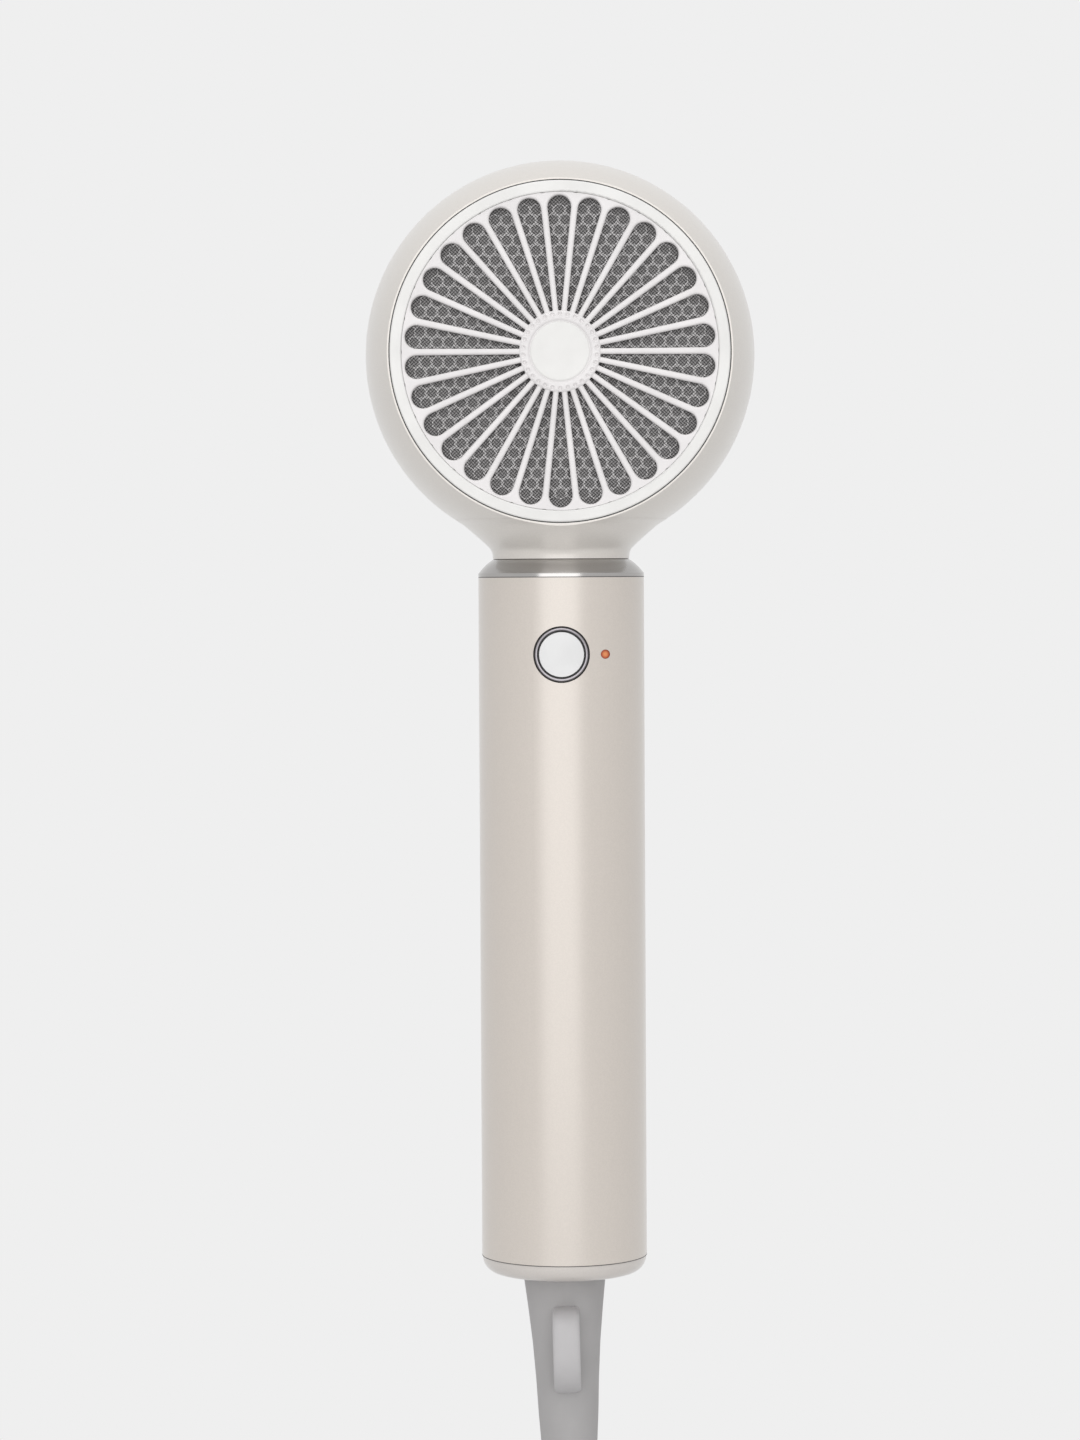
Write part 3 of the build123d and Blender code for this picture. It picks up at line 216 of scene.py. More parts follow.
class Shader:
    """Node tree of a material or of the world, with short ways to add to it."""

    def __init__(self, block):
        block.use_nodes = True
        self.tree = block.node_tree
        self.tree.nodes.clear()

    def add(self, kind, output=0, **inputs):
        node = self.tree.nodes.new("ShaderNode" + kind)
        for key, value in inputs.items():
            plug(self.tree, value, node.inputs[key.replace("_", " ")])
        return Value(self.tree, node.outputs[output])

    def place(self):
        return self.add("TexCoord", "Object")

    def split(self, vector):
        node = self.tree.nodes.new("ShaderNodeSeparateXYZ")
        plug(self.tree, vector, node.inputs[0])
        return [Value(self.tree, out) for out in node.outputs]

    def join(self, x, y, z):
        node = self.tree.nodes.new("ShaderNodeCombineXYZ")
        for value, socket in zip((x, y, z), node.inputs):
            plug(self.tree, value, socket)
        return Value(self.tree, node.outputs[0])

    def noise(self, scale, detail=2.0, vector=None):
        place = vector or self.place()
        return self.add("TexNoise", "Fac", Vector=place, Scale=scale, Detail=detail)

    def mix(self, share, first, second):
        node = self.tree.nodes.new("ShaderNodeMix")
        node.data_type = "RGBA"
        for value, socket in zip((share, first, second), ("Factor_Float", "A_Color", "B_Color")):
            plug(self.tree, value, next(i for i in node.inputs if i.identifier == socket))
        return Value(self.tree, next(o for o in node.outputs if o.identifier == "Result_Color"))

    def bump(self, height, distance):
        return self.add("Bump", Height=height, Distance=distance)

    def backdrop_rays(self):
        """1 where the backdrop is seen, directly or in metal and glass, and 0 where it lights."""
        path = self.tree.nodes.new("ShaderNodeLightPath")
        seen = Value(self.tree, path.outputs["Is Camera Ray"])
        for ray in ("Is Glossy Ray", "Is Transmission Ray"):
            seen = seen.math("MAXIMUM", Value(self.tree, path.outputs[ray]))
        return seen


BACKGROUND = tint(BACKGROUND_GREY, BACKGROUND_GREY, BACKGROUND_GREY)
world = bpy.data.worlds.new("surround")
scene.world = world
sky = Shader(world)
even = sky.add("Background", Color=(1, 1, 1, 1), Strength=0.66)
pale = sky.add("Background", Color=BACKGROUND, Strength=1.0)
mixed = sky.add("MixShader", Fac=sky.backdrop_rays())
mixer = mixed.socket.node
sky.tree.links.new(even.socket, mixer.inputs[1])
sky.tree.links.new(pale.socket, mixer.inputs[2])
sky.tree.links.new(mixed.socket, sky.tree.nodes.new("ShaderNodeOutputWorld").inputs["Surface"])

bpy.ops.mesh.primitive_circle_add(vertices=96, radius=4, fill_type="NGON", location=(0, 0, FLOOR_Z))
floor = bpy.context.object
floor.name = "floor"
floor_look = bpy.data.materials.new("floor")
ground = Shader(floor_look)
x, y, _ = ground.split(ground.place())
away = (x * x + y * y).math("SQRT")
card = ground.add("BsdfDiffuse", Color=BACKGROUND)
glow = ground.add("Emission", Color=BACKGROUND, Strength=ground.backdrop_rays() * 0.28 + 0.72)
blend = ground.add("MixShader", Fac=away.between(0.25, 0.75))
ground.tree.links.new(card.socket, blend.socket.node.inputs[1])
ground.tree.links.new(glow.socket, blend.socket.node.inputs[2])
out = ground.tree.nodes.new("ShaderNodeOutputMaterial")
ground.tree.links.new(blend.socket, out.inputs["Surface"])
floor.data.materials.append(floor_look)


def lamp(name, place, target, size, power):
    data = bpy.data.lights.new(name, "AREA")
    data.shape = "RECTANGLE"
    data.size, data.size_y = size
    data.energy = power
    piece = bpy.data.objects.new(name, data)
    scene.collection.objects.link(piece)
    piece.location = place
    piece.rotation_euler = (Vector(target) - Vector(place)).to_track_quat("-Z", "Y").to_euler()
    return piece


lamp("softbox", (-0.05, -1.05, 0.33), (-0.02, 0, 0.08), (1.15, 1.12), 6.2)
lamp("overhead", (0.0, -0.15, 1.10), (0, 0, 0.12), (0.9, 0.7), 3.0)

# ---------------------------------------------------------------- finishes
# Every piece takes its finish from its slot in the record: painted, moulded, drawn, wound or woven.


def surface(name, colour, roughness, metallic=0.0, bump=None, coat=0.0, coat_roughness=0.12):
    """A finished material. colour(shader) and bump(shader) give nodes; numbers stay on sockets."""
    look = bpy.data.materials.new(name)
    shader = Shader(look)
    body = shader.tree.nodes.new("ShaderNodeBsdfPrincipled")
    plug(shader.tree, colour(shader), body.inputs["Base Color"])
    rough = roughness(shader) if callable(roughness) else roughness
    plug(shader.tree, rough, body.inputs["Roughness"])
    body.inputs["Metallic"].default_value = metallic
    body.inputs["Coat Weight"].default_value = coat
    body.inputs["Coat Roughness"].default_value = coat_roughness
    if bump:
        plug(shader.tree, bump(shader), body.inputs["Normal"])
    out = shader.tree.nodes.new("ShaderNodeOutputMaterial")
    shader.tree.links.new(body.outputs[0], out.inputs["Surface"])
    return look


def mottled(dark, light, scale, detail=3.0):
    """Colour that drifts between two tones."""
    return lambda s: s.mix(s.noise(scale, detail).between(0.3, 0.7), dark, light)


def grainy(scale, height, detail=2.0):
    """Fine raised grain, height in metres."""
    return lambda s: s.bump(s.noise(scale, detail), height)


def moulded(name, colour, roughness, scale=1400, height=0.00002):
    dark = tuple(c * 0.93 for c in colour[:3]) + (1,)
    return surface(
        name,
        mottled(dark, colour, 90),
        lambda s: s.noise(400) * 0.12 + (roughness - 0.06),
        bump=grainy(scale, height),
    )


def brushed(name, colour, roughness, along=(1, 30, 1), scale=300):
    """Metal with fine lines; along stretches the grain across each axis."""

    def lines(s):
        x, y, z = s.split(s.place())
        return s.noise(scale, 3, s.join(x * along[0], y * along[1], z * along[2]))

    dark = tuple(c * 0.8 for c in colour[:3]) + (1,)
    return surface(
        name,
        lambda s: s.mix(lines(s), dark, colour),
        lambda s: lines(s) * 0.15 + (roughness - 0.07),
        metallic=1.0,
        bump=lambda s: s.bump(lines(s), 0.00001),
    )


def pearl(name, colour):
    """Satin champagne lacquer with very fine mica in it."""
    light = tuple(min(c * 1.02, 1) for c in colour[:3]) + (1,)
    dark = tuple(c * 0.98 for c in colour[:3]) + (1,)

    def flakes(s):
        return s.add("TexVoronoi", "Color", Vector=s.place(), Scale=4200.0).between(0.2, 0.8)

    return surface(
        name,
        lambda s: s.mix(flakes(s), dark, light),
        lambda s: s.noise(2500) * 0.06 + 0.29,
        metallic=0.16,
        bump=grainy(3000, 0.000002),
        coat=0.90,
        coat_roughness=0.28,
    )


def banded(axis, pitch):
    """0 to 1 and back along an axis, once in each pitch."""

    def height(s):
        along = s.split(s.place())["xyz".index(axis)]
        return (along * (2 * math.pi / pitch)).math("SINE") * 0.5 + 0.5

    return height


THREAD_PITCH = 0.00058


def weave(s):
    """Plain weave of fine threads on the slant, over and under each other."""
    x, _, z = s.split(s.place())
    turns = math.pi / (THREAD_PITCH * math.sqrt(2))
    along, across = (x + z) * turns, (x - z) * turns
    warp = along.math("SINE").math("ABSOLUTE")
    weft = across.math("SINE").math("ABSOLUTE")
    over = (along.math("COSINE") * across.math("COSINE")).between(-0.2, 0.2)
    return (warp * over + weft * (over * -1 + 1)) ** 1.6


def woven(name, dark, light):
    return surface(
        name,
        lambda s: s.mix(weave(s), dark, light),
        0.55,
        bump=lambda s: s.bump(weave(s), 0.0002),
    )


# the indicator lies beside the button, at its height
LENS_X, BUTTON_Z = 0.0099, 0.0605


def lens_edge(s):
    """0 in the middle of the indicator's light pipe and 1 at its edge."""
    x, _, z = s.split(s.place())
    return ((x - LENS_X) ** 2 + (z - BUTTON_Z) ** 2).math("SQRT").between(0.0002, 0.0009)


LOOKS = {
    "pearl_shell": pearl("pearl_shell", tint(210, 205, 199)),
    "pearl_tube": pearl("pearl_tube", tint(203, 195, 187)),
    "white_satin": moulded("white_satin", tint(226, 225, 223), 0.36, 2200, 0.000006),
    "grille_satin": moulded("grille_satin", tint(226, 223, 223), 0.40, 2200, 0.000008),
    "white_button": moulded("white_button", tint(222, 222, 222), 0.38, 2200, 0.000006),
    "dark_heatproof": moulded("dark_heatproof", tint(80, 78, 76), 0.55),
    "blackened_steel": brushed("blackened_steel", tint(70, 70, 71), 0.42),
    "filter_weave": woven("filter_weave", tint(24, 23, 23), tint(164, 162, 162)),
    "grey_plastic": moulded("grey_plastic", tint(128, 128, 127), 0.5),
    "magnet": brushed("magnet", tint(168, 168, 170), 0.25),
    "black_plastic": moulded("black_plastic", tint(38, 38, 39), 0.45),
    "fan_plastic": moulded("fan_plastic", tint(84, 84, 86), 0.42),
    "zinc_screw": brushed("zinc_screw", tint(186, 187, 184), 0.3),
    "shaft_steel": brushed("shaft_steel", tint(188, 188, 190), 0.22),
    "motor_can": brushed("motor_can", tint(172, 172, 173), 0.3),
    "core_steel": surface(
        "core_steel",
        lambda s: s.mix(banded("y", 0.0005)(s), tint(72, 72, 76), tint(128, 128, 132)),
        0.45,
        metallic=1.0,
        bump=lambda s: s.bump(banded("y", 0.0005)(s), 0.00008),
    ),
    "copper_wire": surface(
        "copper_wire",
        lambda s: s.mix(banded("y", 0.0006)(s), tint(96, 44, 20), tint(196, 112, 62)),
        0.3,
        metallic=0.85,
        bump=lambda s: s.bump(banded("y", 0.0006)(s), 0.0001),
    ),
    "black_rubber": moulded("black_rubber", tint(34, 34, 34), 0.7),
    "mica": surface(
        "mica",
        lambda s: s.mix(s.noise(260, 8), tint(184, 168, 132), tint(226, 216, 190)),
        lambda s: s.noise(500) * 0.3 + 0.3,
        bump=grainy(900, 0.00004, 6),
    ),
    "resistance_wire": surface(
        "resistance_wire",
        lambda s: s.mix(s.noise(1200), tint(110, 100, 92), tint(168, 158, 148)),
        0.4,
        metallic=1.0,
        bump=grainy(2200, 0.0002),
    ),
    "white_ceramic": moulded("white_ceramic", tint(226, 224, 216), 0.25),
    "polished_chrome": brushed("polished_chrome", tint(184, 182, 180), 0.17, (1, 1, 1), 60),
    "circuit_board": surface(
        "circuit_board",
        lambda s: s.mix(
            s.add(
                "TexBrick", "Fac", Vector=s.place(), Scale=260.0, Mortar_Size=0.09
            ).between(0.3, 0.7),
            tint(30, 84, 52),
            tint(48, 118, 76),
        ),
        0.35,
        bump=lambda s: s.bump(s.add("TexBrick", "Fac", Vector=s.place(), Scale=260.0), 0.00004),
    ),
    "led": moulded("led", tint(250, 232, 180), 0.2),
    "orange_lens": surface(
        "orange_lens",
        lambda s: s.mix(lens_edge(s), tint(224, 142, 88), tint(178, 84, 52)),
        0.3,
        bump=grainy(1800, 0.00002),
    ),
    "capacitor": moulded("capacitor", tint(44, 48, 66), 0.35),
    "plain_aluminium": brushed("plain_aluminium", tint(200, 200, 202), 0.35, (1, 1, 20)),
    "yellow_case": moulded("yellow_case", tint(206, 178, 70), 0.4),
    "grey_rubber": moulded("grey_rubber", tint(168, 166, 166), 0.55, 2600, 0.000012),
    "cord_jacket": moulded("cord_jacket", tint(168, 166, 166), 0.55, 2600, 0.000012),
    "tie_strap": surface(
        "tie_strap",
        mottled(tint(110, 110, 108), tint(150, 150, 148), 1800, 4),
        0.85,
        bump=grainy(1600, 0.0004, 4),
    ),
    "plug_pin": brushed("plug_pin", tint(214, 211, 205), 0.14, (1, 1, 1), 200),
}


def dress(piece, slot):
    piece.data.materials.clear()
    piece.data.materials.append(LOOKS[slot])


for part in frame["record"]["subparts"]:
    node = nodes[part["node"]]
    for place in range(len(node.data.materials)):
        node.data.materials[place] = LOOKS[part["material_slot"]]


# ---------------------------------------------------------------- slotted inlet grille
# Moulded satin disc with thirty tapered slots, their edges rounded over so that each rib is a
# soft bar. It is clipped into the bezel and comes off with the cover.
HEAD_Z = 0.1285
GRILLE_FACE, GRILLE_BACK = -0.021988, -0.019788
GRILLE_R = 0.03555
SLOTS = 30
SLOT_TIP, SLOT_TIP_AT = 0.00263, 0.0323
SLOT_ROOT, SLOT_ROOT_AT = 0.00035, 0.0094
HUB_R, CAP_R = 0.0090, 0.00685
PLATE_IN = CAP_R - 0.0006
RIB_ROUND, BACK_ROUND = 0.00052, 0.00012
SIDE_STEPS, TIP_STEPS, ROOT_STEPS = 26, 24, 12
BORDER_TURN = 0.3  # share of a slot's round end at which the plate's share turns its corner


def make(name, build, slot, body="root", stands_for=(), auto=None):
    """A new piece from a bmesh, with its finish, its body and the nodes it stands for."""
    build.normal_update()
    bmesh.ops.recalc_face_normals(build, faces=build.faces)
    mesh = bpy.data.meshes.new(name)
    build.to_mesh(mesh)
    build.free()
    piece = bpy.data.objects.new(name, mesh)
    scene.collection.objects.link(piece)
    return finish_piece(piece, slot, body, stands_for, auto)


def finish_piece(piece, slot, body="root", stands_for=(), auto=None):
    """Shading, body and finish; edges over auto degrees stay sharp."""
    piece.data.shade_smooth()
    if auto:
        piece.data.set_sharp_from_angle(angle=math.radians(auto))
    if stands_for:
        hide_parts(*stands_for)
    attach(piece, body)
    dress(piece, slot)
    return piece


def skin(build, rows, closed=False):
    """Faces between rows, each a loop of corners; closed joins the last row to the first."""
    for low, high in zip(rows, rows[1:] + rows[:1] if closed else rows[1:]):
        for i in range(len(low)):
            j = (i + 1) % len(low)
            build.faces.new((low[i], low[j], high[j], high[i]))


def slot_corners():
    """Outline of one tapered slot along +X: each corner, the way out of the slot there, and the
    place where the plate's share of that corner ends, between this slot and its neighbours."""
    slope = math.asin((SLOT_TIP - SLOT_ROOT) / (SLOT_TIP_AT - SLOT_ROOT_AT))
    half = math.pi / SLOTS
    corners = []

    def polar(radius, turn):
        return radius * math.cos(turn), radius * math.sin(turn)

    def add(x, y, turn, border):
        corners.append(((x, y), (math.cos(turn), math.sin(turn)), border))

    for side in (1, -1):
        # the straight side, from the root out on +Y and back in on -Y, then the round end
        turn = side * (math.pi / 2 + slope)
        root = SLOT_ROOT_AT + SLOT_ROOT * math.cos(turn), SLOT_ROOT * math.sin(turn)
        tip = SLOT_TIP_AT + SLOT_TIP * math.cos(turn), SLOT_TIP * math.sin(turn)
        near, far = [abs(x * math.cos(half)) + abs(y * math.sin(half)) for x, y in (root, tip)]
        for i in range(SIDE_STEPS):
            share = i / SIDE_STEPS if side > 0 else 1 - i / SIDE_STEPS
            x, y = [r + (t - r) * share for r, t in zip(root, tip)]
            add(x, y, turn, polar(near + (far - near) * share, side * half))
        if side > 0:
            at, radius, edge, start, count = SLOT_TIP_AT, SLOT_TIP, GRILLE_R, far, TIP_STEPS
        else:
            at, radius, edge, start, count = SLOT_ROOT_AT, SLOT_ROOT, PLATE_IN, near, ROOT_STEPS
        span = math.pi + side * 2 * slope
        for i in range(count):
            share = i / count
            here = turn - span * share
            if share < BORDER_TURN:
                border = polar(start + (edge - start) * share / BORDER_TURN, side * half)
            elif share > 1 - BORDER_TURN:
                border = polar(start + (edge - start) * (1 - share) / BORDER_TURN, -side * half)
            else:
                across = 1 - (share - BORDER_TURN) / (0.5 - BORDER_TURN)
                border = polar(edge, side * half * across)
            add(at + radius * math.cos(here), radius * math.sin(here), here, border)
    return corners


def slotted_plate():
    """The grille: one slot's share of the plate, repeated round and joined."""
    corners = slot_corners()
    levels = [(None, GRILLE_BACK), (BACK_ROUND, GRILLE_BACK), (0.0, GRILLE_BACK - BACK_ROUND)]
    steps = 6
    for i in range(steps + 1):
        turn = math.pi / 2 * i / steps
        out, back = RIB_ROUND * (1 - math.cos(turn)), RIB_ROUND * (1 - math.sin(turn))
        levels.append((out, GRILLE_FACE + back))
    levels.append((None, GRILLE_FACE))
    build = bmesh.new()
    for step in range(SLOTS):
        turn = math.radians(90 + 360 * step / SLOTS)
        c, s = math.cos(turn), math.sin(turn)
        rows = []
        for out, depth in levels:
            row = []
            for (x, y), (nx, ny), border in corners:
                px, py = border if out is None else (x + nx * out, y + ny * out)
                row.append(build.verts.new((c * px - s * py, depth, HEAD_Z + s * px + c * py)))
            rows.append(row)
        skin(build, rows)
    bmesh.ops.remove_doubles(build, verts=build.verts, dist=0.000004)
    for outer in (True, False):
        rim = [
            e
            for e in build.edges
            if len(e.link_faces) == 1
            and (math.hypot(e.verts[0].co.x, e.verts[0].co.z - HEAD_Z) > SLOT_ROOT_AT) == outer
        ]
        bmesh.ops.bridge_loops(build, edges=rim)
    return build


plate = slotted_plate()
grille = make("slotted_grille", plate, "grille_satin", "inlet_cover", ["inlet_grille"], auto=60)
weigh = grille.modifiers.new("even", "WEIGHTED_NORMAL")
weigh.keep_sharp = True

# ---------------------------------------------------------------- hub ring
# Raised ring at the ribs' inner ends, moulded in one with the grille, with a dimple for each slot
# and a fine lip round each dimple.
DIMPLE_AT, DIMPLE_R, DIMPLE_DEEP = 0.00832, 0.00060, 0.00044
LIP_HIGH, LIP_W = 0.00007, 0.00022
CROWN, CROWN_FLAT = 0.00034, 0.45
HUB_IN, HUB_OUT, HUB_BACK = CAP_R + 0.00002, HUB_R + 0.00012, GRILLE_FACE + 0.0006
HUB_ROUND, HUB_ACROSS = SLOTS * 18, 34

hub_ring = bmesh.new()
top, slot_turn = math.radians(90), 2 * math.pi / SLOTS
rows = []
for j in range(HUB_ACROSS + 1):
    share = j / HUB_ACROSS
    radius = HUB_IN + (HUB_OUT - HUB_IN) * share
    edge = max(0.0, abs(2 * share - 1) - CROWN_FLAT)
    crown = CROWN * (1 - edge**2 / (1 - CROWN_FLAT) ** 2)
    row = []
    for i in range(HUB_ROUND):
        turn = 2 * math.pi * i / HUB_ROUND
        nearest = top + round((turn - top) / slot_turn) * slot_turn
        off = math.hypot(radius - DIMPLE_AT, DIMPLE_AT * (turn - nearest))
        lip = LIP_HIGH * smooth(1 - abs(off - DIMPLE_R) / LIP_W)
        height = GRILLE_FACE - crown + DIMPLE_DEEP * smooth(1 - off / DIMPLE_R) - lip
        x, z = radius * math.cos(turn), radius * math.sin(turn)
        row.append(hub_ring.verts.new((x, height, HEAD_Z + z)))
    rows.append(row)
skin(hub_ring, rows)
edges = [e for e in hub_ring.edges if len(e.link_faces) == 1]
wall = bmesh.ops.extrude_edge_only(hub_ring, edges=edges)
for item in wall["geom"]:
    if isinstance(item, bmesh.types.BMVert):
        item.co.y = HUB_BACK
make("dimpled_hub_ring", hub_ring, "grille_satin", "inlet_cover")

# ---------------------------------------------------------------- filter
# Fine woven sheet, held behind the ribs. A thin sheet with round holes, set in a honeycomb,
# lies in front of it under the same weave.
SHEET_R = 0.0354
HEX, HOLE_R = 0.00262, 0.00104
WEAVE_FRONT, WEAVE_BACK = GRILLE_BACK + 0.00022, GRILLE_BACK + 0.0004
SHEET_Y, SHEET_T = GRILLE_BACK + 0.00006, 0.00012
CELL_STEPS = 12

weave_disc = bmesh.new()
for depth in (WEAVE_FRONT, WEAVE_BACK):
    bmesh.ops.create_circle(
        weave_disc,
        cap_ends=True,
        segments=180,
        radius=SHEET_R,
        matrix=Matrix.Translation((0, depth, HEAD_Z)) @ Matrix.Rotation(math.radians(90), 4, "X"),
    )
bmesh.ops.bridge_loops(weave_disc, edges=[e for e in weave_disc.edges if len(e.link_faces) == 1])
make("woven_filter", weave_disc, "filter_weave", "inlet_cover", ["filter_mesh"], auto=40)

# places round each cell: the hexagon's corners and edge middles, and the round hole within
perforated = bmesh.new()
line = HEX * math.sqrt(3) / 2
reach = int(SHEET_R / line) + 1
for j in range(-reach, reach + 1):
    for i in range(-reach, reach + 1):
        x, z = (i + 0.5 * (j % 2)) * HEX, j * line
        if math.hypot(x, z) > SHEET_R - HEX * 0.6:
            continue
        outer, hole = [], []
        for k in range(CELL_STEPS):
            turn = math.radians(360 / CELL_STEPS * k)
            c, n = math.cos(turn), math.sin(turn)
            border = HEX / 2 if k % 2 == 0 else HEX / math.sqrt(3)
            for row, size in ((outer, border), (hole, HOLE_R)):
                row.append(perforated.verts.new((x + size * c, SHEET_Y, HEAD_Z + z + size * n)))
        skin(perforated, [outer, hole])
bmesh.ops.remove_doubles(perforated, verts=perforated.verts, dist=0.00005)
sheet = make("perforated_sheet", perforated, "filter_weave", "inlet_cover")
sheet.data.materials[0] = woven("filter_sheet", tint(60, 58, 58), tint(226, 224, 224))
thick = sheet.modifiers.new("thickness", "SOLIDIFY")
thick.thickness = SHEET_T
thick.offset = 0

# ---------------------------------------------------------------- neck, collar and button ring
# The neck stands straight on the collar and then opens as a cone which runs into the ball. Thin
# dark rings are painted shade for the shadow in the seams between the tube and its collar and its
# cap, and the button's ring is a rounded band over a dark ring that is painted shade for the shadow
# in its gap.
TUBE_R, TUBE_TOP, CAP_TOP = 0.019, 0.078, -0.078
COLLAR_TOP, COLLAR_BORE = 0.0822, 0.01245
SPIGOT_R, SPIGOT_END = 0.01755, 0.070
LAND_H, SHOULDER_W, SHOULDER_SLOPE = 0.0008, 0.0037, 0.72
BALL_R, NECK_R = 0.0445, 0.0155
CONE_FROM, CONE_SLOPE = 0.08415, 1.16
CONE_BLEND, BALL_BLEND = 0.0009, 0.0002
SLEEVE_TOP, SLEEVE_BLEND = 0.0912, 0.0895
SLEEVE_T, UNDER_SLEEVE = 0.0006, 0.0003
RING_IN, RING_OUT, RING_SINK = 0.00522, 0.00635, 0.0003
RIM_Y = -0.021790
LINE_DEEP, LINE_PROUD = 0.0002, 0.00001
LINE_LOW, LINE_HIGH = -0.0001, 0.00006


def lathe(build, profile, place, count=96, closed=False):
    """Rings of corners from (radius, along) pairs, joined into a turned surface or closed ring."""
    turns = [2 * math.pi * i / count for i in range(count)]
    rows = []
    for radius, along in profile:
        ring = [place(radius * math.cos(t), radius * math.sin(t), along) for t in turns]
        rows.append([build.verts.new(corner) for corner in ring])
    skin(build, rows, closed)


def upright(x, y, z):
    """A point turned about the handle's axis."""
    return x, y, z


def facing_back(x, z, y):
    """A point turned about the air axis."""
    return x, y, HEAD_Z + z


def round_button(x, up, height):
    """A point near the button, from its middle along the tube's surface and out from it."""
    return x, -math.sqrt((TUBE_R - RING_SINK) ** 2 - x * x) - height, BUTTON_Z + up


def neck_radius(up):
    """Outside of the neck at a height: straight, then a cone which runs into the ball."""
    lift = up - CONE_FROM
    cone = NECK_R + CONE_SLOPE * (lift + math.hypot(lift, CONE_BLEND)) / 2
    ball = math.sqrt(max(BALL_R**2 - (HEAD_Z - up) ** 2, 0))
    return (cone + ball + math.hypot(cone - ball, BALL_BLEND)) / 2


# the ball's own mesh, with its neck drawn in under the smooth sleeve
shell = nodes["head_shell"]
ball_piece = bpy.data.objects.new("ball_housing", shell.data.copy())
scene.collection.objects.link(ball_piece)
for corner in ball_piece.data.vertices:
    x, y, z = corner.co
    radius = math.hypot(x, y)
    if COLLAR_TOP - 0.0002 < z < SLEEVE_BLEND and radius > NECK_R - 0.001:
        limit = neck_radius(z) - UNDER_SLEEVE
        if radius > limit:
            corner.co = (x * limit / radius, y * limit / radius, z)
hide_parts("head_shell")
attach(ball_piece, "root")
dress(ball_piece, "pearl_shell")

sleeve = bmesh.new()
steps = 36
heights = [COLLAR_TOP - 0.00005 + (SLEEVE_TOP - COLLAR_TOP) * i / steps for i in range(steps + 1)]
profile = [(neck_radius(z), z) for z in heights]
profile += [(neck_radius(z) - SLEEVE_T, z) for z in reversed(heights)]
lathe(sleeve, profile, upright, 240, closed=True)
cut = bmesh.ops.bisect_plane(
    sleeve,
    geom=sleeve.verts[:] + sleeve.edges[:] + sleeve.faces[:],
    plane_co=(0, RIM_Y + 0.00003, 0),
    plane_no=(0, -1, 0),
    clear_outer=True,
)
edges = [item for item in cut["geom_cut"] if isinstance(item, bmesh.types.BMEdge)]
bmesh.ops.holes_fill(sleeve, edges=edges)
make("neck_sleeve", sleeve, "pearl_shell", "root", auto=35)

# the collar is turned: a short upright land, then a shoulder that sets off already leaning in
collar = bmesh.new()
profile = [(COLLAR_BORE, SPIGOT_END), (SPIGOT_R, SPIGOT_END)]
profile += [(SPIGOT_R, TUBE_TOP), (TUBE_R, TUBE_TOP)]
steps = 32
for i in range(steps + 1):
    up = i / steps
    lean = SHOULDER_SLOPE * up + (1 - SHOULDER_SLOPE) * up**3
    height = TUBE_TOP + LAND_H + (COLLAR_TOP - TUBE_TOP - LAND_H) * up
    profile.append((TUBE_R - SHOULDER_W * lean, height))
profile.append((COLLAR_BORE, COLLAR_TOP))
lathe(collar, profile, upright, 160, closed=True)
make("turned_collar", collar, "polished_chrome", "root", ["handle_collar"], auto=40)

# thin dark rings at the tube's two seams: painted shade, standing in for the shadow in each seam's
# gap
for name, seam, slot in (
    ("collar_seam_shade", TUBE_TOP, "black_plastic"),
    ("cap_seam_shade", CAP_TOP, "dark_heatproof"),
):
    hairline = bmesh.new()
    low, high = seam + LINE_LOW, seam + LINE_HIGH
    profile = [(TUBE_R - LINE_DEEP, low), (TUBE_R + LINE_PROUD, low)]
    profile += [(TUBE_R + LINE_PROUD, high), (TUBE_R - LINE_DEEP, high)]
    lathe(hairline, profile, upright, 160)
    make(name, hairline, slot, "root", auto=35)
nodes["end_cap"].data.materials[0] = pearl("pearl_cap", tint(202, 196, 191))

# dark ring in the seam round the bezel: painted shade, standing in for the shadow in the gap
# between bezel and shell
rim_seam_shade = bmesh.new()
SEAM_SHADE_IN, SEAM_SHADE_OUT = 0.0382, 0.03844
front, back = RIM_Y - 0.00004, RIM_Y + 0.0006
profile = [(SEAM_SHADE_IN, back), (SEAM_SHADE_IN, front), (SEAM_SHADE_OUT, front), (SEAM_SHADE_OUT, back)]
lathe(rim_seam_shade, profile, facing_back, 240)
make("bezel_seam_shade", rim_seam_shade, "black_plastic", "root", auto=35)

# dark ring under the button's band: painted shade, standing in for the shadow in the gap round the
# button ring
gap_shade = bmesh.new()
low, high = -0.0012, -0.00006
lathe(gap_shade, [(RING_IN, low), (RING_IN, high), (RING_OUT, high), (RING_OUT, low)], round_button)
make("button_gap_shade", gap_shade, "black_rubber", "root", auto=35)

band = bmesh.new()
BAND_IN, BAND_OUT = RING_IN + 0.00022, RING_OUT - 0.00024
BAND_LOW, BAND_EDGE, BAND_CROWN = -0.0010, -0.00012, 0.00034
middle, half = (BAND_IN + BAND_OUT) / 2, (BAND_OUT - BAND_IN) / 2
profile = [(BAND_IN, BAND_LOW)]
for i in range(13):
    turn = math.pi * i / 12
    profile.append((middle - half * math.cos(turn), BAND_EDGE + BAND_CROWN * math.sin(turn)))
profile.append((BAND_OUT, BAND_LOW))
lathe(band, profile, round_button)
ring_piece = make("button_ring", band, "polished_chrome", "root", ["button_bezel"], auto=60)
ring_piece.data.materials[0] = brushed("ring_chrome", tint(164, 160, 164), 0.30, (1, 1, 1), 60)

# ---------------------------------------------------------------- strain relief and hanging loop
# Soft grey rubber sleeve moulded on the lead, tapering away from the end cap, with a flat strap
# loop on the button side for a wall hook.
CAP_BOTTOM = -0.082
LEAN = math.radians(1.3)
